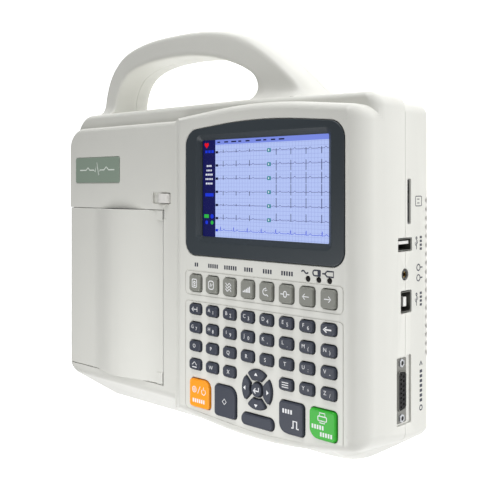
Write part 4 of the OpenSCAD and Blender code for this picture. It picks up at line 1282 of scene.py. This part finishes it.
def wide_print(z):
    """Signs on the wide keys: a power ring, a diamond, a pulse and a strip printer."""
    def middle(name):
        """Middle of a wide key's cap in plan."""
        b = WIDE[name]
        return (b[0] + b[2]) / 2, (b[1] + b[3]) / 2
    x, y = middle("power_key")
    y += 2.4
    shapes = [mark(arc(x - 4.6, y, 1.9, 0, 360, 20), 0.5, z),
        mark(arc(x - 4.6, y, 0.8, 0, 360, 12), 0.5, z),
              mark([(x - 1.3, y - 2.4), (x + 1.1, y + 2.6)], 0.5, z),
              mark(arc(x + 4.4, y - 0.6, 1.9, 130, 410, 20), 0.5, z),
              mark([(x + 4.4, y + 0.4), (x + 4.4, y + 2.6)], 0.5, z)]
    shapes += dashes(x - 0.4, y - 7.3, 6, 1.3, 2.6, z, 0.75)
    printed("power_print", shapes, [], white_print, FOUND_BODY["power_key"])
    x, y = middle("function_key")
    shapes = [mark([(x - 1.8, y), (x, y + 1.8), (x + 1.8, y), (x, y - 1.8)], 0.5, z, True)]
    printed("function_print", shapes, [], white_print, FOUND_BODY["function_key"])
    x, y = middle("copy_key")
    px, py = x + 3.6, y - 3.2
    shapes = [mark([(px - 2.9, py - 2), (px - 1.5, py - 2), (px - 1.48, py + 2.2), (px + 1.3, py + 2.2),
        (px + 1.32, py - 2),
                    (px + 2.9, py - 2)], 0.95, z)]
    shapes += dashes(x - 2.6, y + 4.0, 4, 1.3, 2.6, z, 0.8)
    printed("copy_print", shapes, [], white_print, FOUND_BODY["copy_key"])
    x, y = middle("start_key")
    qx, qy = x + 0.2, y + 4.0
    outline = rounded_outline(rectangle(qx - 3.2, qy - 1.6, qx + 3.2, qy + 1.0, 0.6), 3)[0]
    shapes = [mark(outline, 0.6, z, True), mark([(qx - 2.0, qy + 1.4), (qx - 2.0, qy + 3.0), (qx + 2.0,
        qy + 3.0), (qx + 2.0, qy + 1.4)], 0.5, z),
              mark([(qx - 1.8, qy - 1.2), (qx - 1.8, qy - 2.8), (qx + 1.8, qy - 2.8), (qx + 1.8, qy - 1.2)],
              0.5, z)]
    shapes += dashes(x - 3.2, y - 1.6, 5, 1.2, 2.5, z, 0.7)
    shapes += dashes(x + 3.0, y - 5.4, 5, 1.2, 2.5, z, 0.7)
    printed("start_print", shapes, [], white_print, FOUND_BODY["start_key"])


def make_panel_print():
    """Dark print on the panel: a short bar row over each of the first six soft keys and a sign over each
    light.
    """
    z = PANEL_Z + 0.005
    shapes = []
    counts = [2, 5, 6, 4, 4, 5]
    for i, n in enumerate(counts):
        x = (SOFT[i][0] + SOFT[i][2]) / 2
        shapes += dashes(x, -20.0, n, 1.25, 2.7, z, 0.75)
    wave = np.linspace(-2.6, 2.6, 20)
    x, y = LIGHTS[0][0] - 2.2, -18.0
    shapes.append(mark(np.stack([x + wave, y + 0.8 * np.sin(-wave * 1.2)], 1), 0.9, z))
    x = LIGHTS[1][0] - 1.6
    battery = [(x - 2.6, y - 1.6, 1.4), (x + 2.9, y - 1.6, 0.3), (x + 2.9, y + 1.6, 0.3),
        (x - 2.6, y + 1.6, 1.4)]
    shapes.append(mark(rounded_outline(battery, 5)[0], 0.9, z, True))
    shapes.append(mark([(x + 0.9, y), (x + 2.9, y)], 3.2, z + 0.01))
    x = LIGHTS[2][0] - 1.2
    shapes.append(mark([(x - 4.0, y), (x - 2.2, y), (x - 0.4, y + 1.6), (x + 4.2, y + 1.6),
        (x + 4.2, y - 1.6),
                        (x - 0.4, y - 1.6), (x - 2.0, y - 0.1)], 0.95, z))
    printed("panel_print", shapes, [], dark_print, "machine")


def on_side(shapes):
    """Turns print drawn in (Y, Z) onto the right wall, its height outwards."""
    return [upright(s) for s in shapes]


def make_side_print():
    """Plain signs by the sockets on the right wall: card, plug, headset, plug and a row of bars."""
    z = SIDE + 0.005
    shapes = [mark(rounded_outline(rectangle(CARD_Y - 3, 11.5, CARD_Y + 3, 18.5, 0.8), 3)[0], 0.5, z, True),
              mark([(CARD_Y - 1.2, 14), (CARD_Y - 1.2, 16.6)], 0.5, z),
              mark([(CARD_Y + 1.2, 14), (CARD_Y + 1.2, 16.6)], 0.5, z)]
    for y in (HOST_Y, DEVICE_Y):
        shapes += [mark([(y - 3.6, 17.4), (y + 3.0, 17.4)], 0.55, z),
            mark(arc(y + 3.4, 17.4, 0.7, 0, 360, 10), 0.7, z)]
        shapes += [mark([(y - 1.8, 17.4), (y - 0.4, 18.8), (y + 0.8, 18.8)], 0.5, z)]
        shapes += [mark([(y - 0.6, 17.4), (y + 0.8, 16.0), (y + 2.0, 16.0)], 0.5, z)]
        shapes += [mark([(y - 3.4 + k * 2.4, 11.2), (y - 3.4 + k * 2.4, 13.6)], 1.5, z) for k in range(4)]
    for y in (JACK_Y - 3.2, JACK_Y + 3.2):
        shapes += [mark(arc(y, 15.2, 1.9, 0, 360, 16), 0.75, z), mark([(y, 13.3), (y, 10.6)], 0.8, z)]
    shapes += [mark([(PATIENT_Y - 9.5 + k * 3.0, 10.9), (PATIENT_Y - 9.5 + k * 3.0, 13.7)], 1.9,
        z) for k in range(7)]
    shapes += [mark([(PATIENT_Y + 12.2, 10.9), (PATIENT_Y + 14.6, 12.3), (PATIENT_Y + 12.2, 13.7)], 1.0, z),
               mark(arc(PATIENT_Y - 14.2, 12.3, 1.5, 0, 360, 14), 0.8, z)]
    printed("side_print", on_side(shapes), [], dark_print, "machine")


def make_name_plate():
    """Plain film plate with a heartbeat line, in a shallow bed."""
    low, high = PLATE
    film = joined("plate_film", [capsule(rectangle(low[0], low[1], high[0], high[1], 1.3), DECK_Z - 0.4,
        DECK_Z + 0.35, 0.25)])
    finish(film, plate_film, "machine", "name_plate", degrees=40)
    y = (low[1] + high[1]) / 2
    t = np.linspace(low[0] + 6, high[0] - 6, 5)
    points = [(t[0], y), (t[1] - 3, y), (t[1] - 0.5, y + 2), (t[1] + 2, y), (t[2] - 4, y),
        (t[2] - 2.2, y - 1.6),
              (t[2], y + 6.2), (t[2] + 2.6, y - 4.4), (t[2] + 4.2, y), (t[3] - 2, y), (t[3] + 1, y + 2.4),
              (t[3] + 4, y), (t[4], y)]
    printed("plate_line", [mark(points, 0.9, DECK_Z + 0.34)], [], plate_trace, "machine")


# ---------------------------------------------------------------- sockets and lights
def make_sockets():
    """Metal shells, inserts and posts of the sockets in the right wall."""
    def tube(y, z, wide, tall, r, x0, x1, thick=0.35):
        """Rings of a rounded tube from x0 to x1: outside there and inside back, its wall thick."""
        outer, n = rounded_outline(rectangle(y - wide / 2, z - tall / 2, y + wide / 2, z + tall / 2, r), 5)
        inner = outer - n * thick
        return upright(np.array([ring(outer, x0), ring(outer, x1), ring(inner, x1), ring(inner, x0 + 0.5)]))
    def shell(name, *args, node=None, material=plated_steel):
        """One socket's metal shell."""
        obj = loft(name, tube(*args), looped=True)
        return finish(obj, material, "machine", *([node] if node else []), degrees=34)
    shell("host_shell", HOST_Y, HOST_Z, 7.2, 14.2, 0.5, SIDE - 12, SIDE - 0.5, node="usb_host_socket",
        material=dull_zinc)
    floor = joined("host_floor", [upright(slab(HOST_Y - 3.4, HOST_Z - 6.9, SIDE - 12, HOST_Y + 3.4,
        HOST_Z + 6.9, SIDE - 11.4))])
    finish(floor, dark_plastic, "machine", degrees=30)
    tongue = joined("host_tongue", [upright(capsule(rectangle(HOST_Y + 0.2, HOST_Z - 5.9, HOST_Y + 2.2,
        HOST_Z + 5.9, 0.2), SIDE - 11.4, SIDE - 1.4, 0.2))])
    finish(tongue, white_insert, "machine", degrees=30)
    shell("device_shell", DEVICE_Y, DEVICE_Z, 12.2, 10.8, 1.4, SIDE - 12, SIDE - 0.4,
        node="usb_device_socket", material=dull_zinc)
    floor = joined("device_floor", [upright(slab(DEVICE_Y - 5.8, DEVICE_Z - 5.1, SIDE - 12, DEVICE_Y + 5.8,
        DEVICE_Z + 5.1, SIDE - 11.4))])
    finish(floor, dark_plastic, "machine", degrees=30)
    core = joined("device_core", [upright(capsule(rectangle(DEVICE_Y - 2.9, DEVICE_Z - 1.7, DEVICE_Y + 2.9,
        DEVICE_Z + 1.7, 0.3), SIDE - 11.4, SIDE - 1.0, 0.25))])
    finish(core, white_insert, "machine", degrees=30)
    jack, n = rounded_outline(circle_corners(JACK_Y, JACK_Z, 3.34), 10)
    bore = jack - n * (3.34 - 1.75)
    rings = [ring(jack, SIDE - 5), ring(jack, SIDE - 0.6), ring(jack - n * 0.4, SIDE - 0.2),
        ring(bore + n * 0.3, SIDE - 0.2),
             ring(bore, SIDE - 0.5), ring(bore, SIDE - 5)]
    finish(loft("jack_collar", upright(np.array(rings)), looped=True), dark_plastic, "machine",
        "audio_jack", degrees=34)
    plug_floor = joined("jack_floor", [upright(prism(circle_corners(JACK_Y, JACK_Z, 3.0), SIDE - 6.4,
        SIDE - 5.6))])
    finish(plug_floor, dark_plastic, "machine", degrees=30)
    ring_in, n = rounded_outline(circle_corners(JACK_Y, JACK_Z, 1.74), 10)
    sleeve = loft("jack_sleeve", upright(np.array([ring(ring_in, SIDE - 5), ring(ring_in, SIDE - 0.8),
        ring(ring_in - n * 0.3, SIDE - 0.8), ring(ring_in - n * 0.3, SIDE - 5)])), looped=True)
    finish(sleeve, brass_metal, "machine", degrees=34)
    slot_y = CARD_Y
    card = loft("card_cage", tube(slot_y, CARD_Z, 26.6, 3.0, 0.3, SIDE - 9, SIDE - 1.0, 0.3), looped=True)
    finish(card, plated_steel, "machine", "card_socket", degrees=34)
    lip = joined("card_floor", [upright(slab(slot_y - 13, CARD_Z - 1.3, SIDE - 9, slot_y + 13, CARD_Z + 1.3,
        SIDE - 8.2))])
    finish(lip, dark_plastic, "machine", degrees=30)
    make_patient_socket()


def trapezoid(y, z, wide, narrow, tall, r):
    """Corners of a D-shaped shell, drawn in (Y, Z), its wide side towards the panel."""
    return [(y - narrow / 2, z - tall / 2, r), (y + narrow / 2, z - tall / 2, r),
        (y + wide / 2, z + tall / 2, r),
            (y - wide / 2, z + tall / 2, r)]


def make_patient_socket():
    """Fifteen-way D socket: flange, D shell, black insert with its holes, two threaded posts."""
    y, z = PATIENT_Y, PATIENT_Z
    flange = loft("patient_flange", upright(capsule(rectangle(y - 19.6, z - 5.4, y + 19.6, z + 5.4, 1.2),
        SIDE - 2.2, SIDE - 0.8, 0.25)))
    finish(flange, dull_zinc, "machine", "patient_socket", degrees=34)
    pocket = rectangle(y - 20.6, z - 9.3, y + 20.6, z + 6.1, 0.8)
    finish(joined("patient_pocket", [upright(prism(pocket, SIDE - 4.2, SIDE - 1.2))]), casing_plastic,
        "machine", degrees=30)
    outer, n = rounded_outline(trapezoid(y, z, 25.0, 22.6, 8.6, 2.4), 8)
    rings = [ring(outer + n * 0.8, SIDE - 1.2), ring(outer + n * 0.3, SIDE - 0.7), ring(outer, SIDE - 0.5),
        ring(outer, SIDE - 0.05),
             ring(outer - n * 0.45, SIDE - 0.05), ring(outer - n * 0.45, SIDE - 1.7)]
    finish(loft("patient_shell", upright(np.array(rings)), looped=True), dull_zinc, "machine", degrees=34)
    insert = loft("patient_insert", upright(capsule(trapezoid(y, z, 24.0, 21.6, 7.6, 2.0), SIDE - 5,
        SIDE - 0.15, 0.3)))
    holes = []
    for row, count in ((1.4, 8), (-1.4, 7)):
        for k in range(count):
            holes.append(upright(prism(circle_corners(y + (k - (count - 1) / 2) * 2.77, z + row, 0.62),
                SIDE - 4, SIDE + 0.5, 0.2, 1.4 + 0.2, steps=4)))
    combine(insert, [joined("pin holes", holes)], "DIFFERENCE")
    finish(insert, connector_black, "machine", degrees=34)
    for s in (-1, 1):
        t = np.radians(np.arange(6) * 60)
        hexagon = np.stack([y + s * 16.65 + 2.75 * np.cos(t), z + 2.75 * np.sin(t)], 1)
        thread = circle_points(y + s * 16.65, z, 1.42, 24)
        post = loft("post", upright(np.array([ring(hexagon, SIDE - 1.2), ring(hexagon, SIDE - 0.4),
            ring((hexagon - [y + s * 16.65, z]) * 0.88 + [y + s * 16.65, z], SIDE - 0.1)])))
        combine(post, [loft("thread", upright(np.array([ring(thread, SIDE - 1.1), ring(thread,
            SIDE + 1)])))], "DIFFERENCE")
        post.name = f"patient_post_{'front' if s < 0 else 'rear'}"
        finish(post, brushed_steel, "machine", degrees=30)


def make_lights():
    """Three small lenses beside the soft keys."""
    solids = []
    for x, y in LIGHTS:
        p, n = rounded_outline(circle_corners(x, y, 1.6), 8)
        rings = [ring(p, PANEL_Z - 4)]
        for t in np.linspace(0, 1.4, 6):
            rings.append(ring(p - n * 1.55 * (1 - math.cos(t)), PANEL_Z - 0.45 + 0.3 * math.sin(t)))
        solids.append(np.array(rings))
    lens = plastic("light lens", (16, 12, 13), 0.5, 0.0, wear=0.0, Specular_IOR_Level=0.2)
    finish(joined("status_lenses", solids), lens, "machine", "status_lights", degrees=60)


def make_underside():
    """Rubber feet with a rounded rim and a battery cover with finger grooves."""
    solids = []
    low, high = corners_of("feet")
    spots = [(-118, 62), (-118, -122), (118, 56), (100, -120)]
    for x, y in spots:
        p, n = rounded_outline(circle_corners(x, y, 7.0), 10)
        rings = [ring(p - n * 2.0, FLOOR_Z + 0.3), ring(p, FLOOR_Z - 0.2), ring(p - n * 0.2, 0.9),
            ring(p - n * 0.9, 0.0), ring(p - n * 3.0, 0.0), ring(p - n * 3.4, 0.5)]
        solids.append(np.array(rings)[::-1])
    finish(joined("rubber_feet", solids), foot_rubber, "machine", "feet", degrees=40)
    low, high = corners_of("battery_cover")
    rings = capsule(rectangle(low[0], low[1], high[0], high[1], 1.2), 0, 2.5, 0.4)
    rings[..., 2] = FLOOR_Z + 2.5 - rings[..., 2]
    cover = loft("battery_door", rings[:, ::-1])
    grooves = [slab(low[0] + 20 + k * 5, low[1] + 6, FLOOR_Z - 1, low[0] + 22.4 + k * 5, low[1] + 18,
        FLOOR_Z + 0.8) for k in range(6)]
    combine(cover, [joined("grooves", grooves)], "DIFFERENCE")
    finish(cover, casing_plastic, "machine", "battery_cover", degrees=30)


# ---------------------------------------------------------------- carried-over CAD nodes
def dress_cad_nodes():
    """Materials of the CAD parts that show as they are, mostly in the printer well and on the left."""
    looks = {
        "keypad_mat": foot_rubber, "key_board": board_mask, "main_board": board_mask,
        "printer_frame": well_plastic,
        "print_head": brushed_steel, "stepper_motor": brushed_steel, "power_board": board_mask,
        "mains_inlet": dark_plastic,
        "earth_stud": plated_steel, "battery_pack": battery_wrap, "case_screws": plated_steel,
        "speaker": dark_plastic,
        "door_pins": plated_steel, "platen_roller": foot_rubber, "platen_shaft": plated_steel,
        "idler_gear": gear_nylon,
        "motor_pinion": brass_metal, "paper_roll": roll_paper,
    }
    for node, material in looks.items():
        mesh = frame["nodes"][node].data
        mesh.materials.clear()
        mesh.materials.append(material)


# ---------------------------------------------------------------- stage
def make_stage():
    """Pale floor, soft lights and the camera."""
    world = bpy.context.scene.world or bpy.data.worlds.new("studio")
    bpy.context.scene.world = world
    world.use_nodes = True
    back = world.node_tree.nodes["Background"]
    back.inputs["Color"].default_value = (1, 1, 1, 1)
    back.inputs["Strength"].default_value = 0.24
    floor = new_mesh("floor", [(-3000, -3000, 0), (3000, -3000, 0), (3000, 3000, 0), (-3000, 3000, 0)],
        [[0, 1, 2, 3]])
    paint = bpy.data.materials.new("floor paint")
    paint.use_nodes = True
    shader = paint.node_tree.nodes["Principled BSDF"]
    shader.inputs["Base Color"].default_value = (0.9, 0.9, 0.9, 1)
    shader.inputs["Roughness"].default_value = 0.9
    shader.inputs["Emission Color"].default_value = (1, 1, 1, 1)
    shader.inputs["Emission Strength"].default_value = 0.85
    floor.data.materials.append(paint)
    for name, place, size, power in (("right light", (1.35, -0.35, 0.25), 0.9, 5.2),
        ("rear light", (0.1, 1.6, 0.55), 1.0, 19.0),
                                     ("front light", (0.0, -0.2, 0.33), 0.3, 0.78)):
        light = bpy.data.lights.new(name, "AREA")
        light.energy = power
        light.size = size
        lamp = bpy.data.objects.new(name, light)
        lamp.location = place
        lamp.rotation_euler = (Vector((0, -0.08, 0.03)) - Vector(place)).to_track_quat("-Z", "Y").to_euler()
        bpy.context.scene.collection.objects.link(lamp)
    camera = bpy.data.cameras.new("camera")
    camera.sensor_width = 36
    camera.lens = 57.1
    camera.shift_x = -0.0094
    camera.shift_y = -0.1270
    eye = bpy.data.objects.new("camera", camera)
    turn = math.radians(43.24)
    right = Vector((math.cos(turn), 0, -math.sin(turn)))
    behind = Vector((math.sin(turn), 0, math.cos(turn)))
    upward = Vector((0, 1, 0))
    eye.matrix_world = Matrix.Translation((0.4126, 0.0329, 0.4424)) @ Matrix((right, upward,
        behind)).transposed().to_4x4()
    bpy.context.scene.collection.objects.link(eye)
    bpy.context.scene.camera = eye
    bpy.context.scene.view_settings.view_transform = "Standard"


make_stage()
make_casings()
make_door()
make_latch()
make_tear_bar()
make_bezel()
make_screen()
make_window()
make_keys()
make_key_print()
make_panel_print()
make_side_print()
make_name_plate()
make_sockets()
make_lights()
make_underside()
dress_cad_nodes()
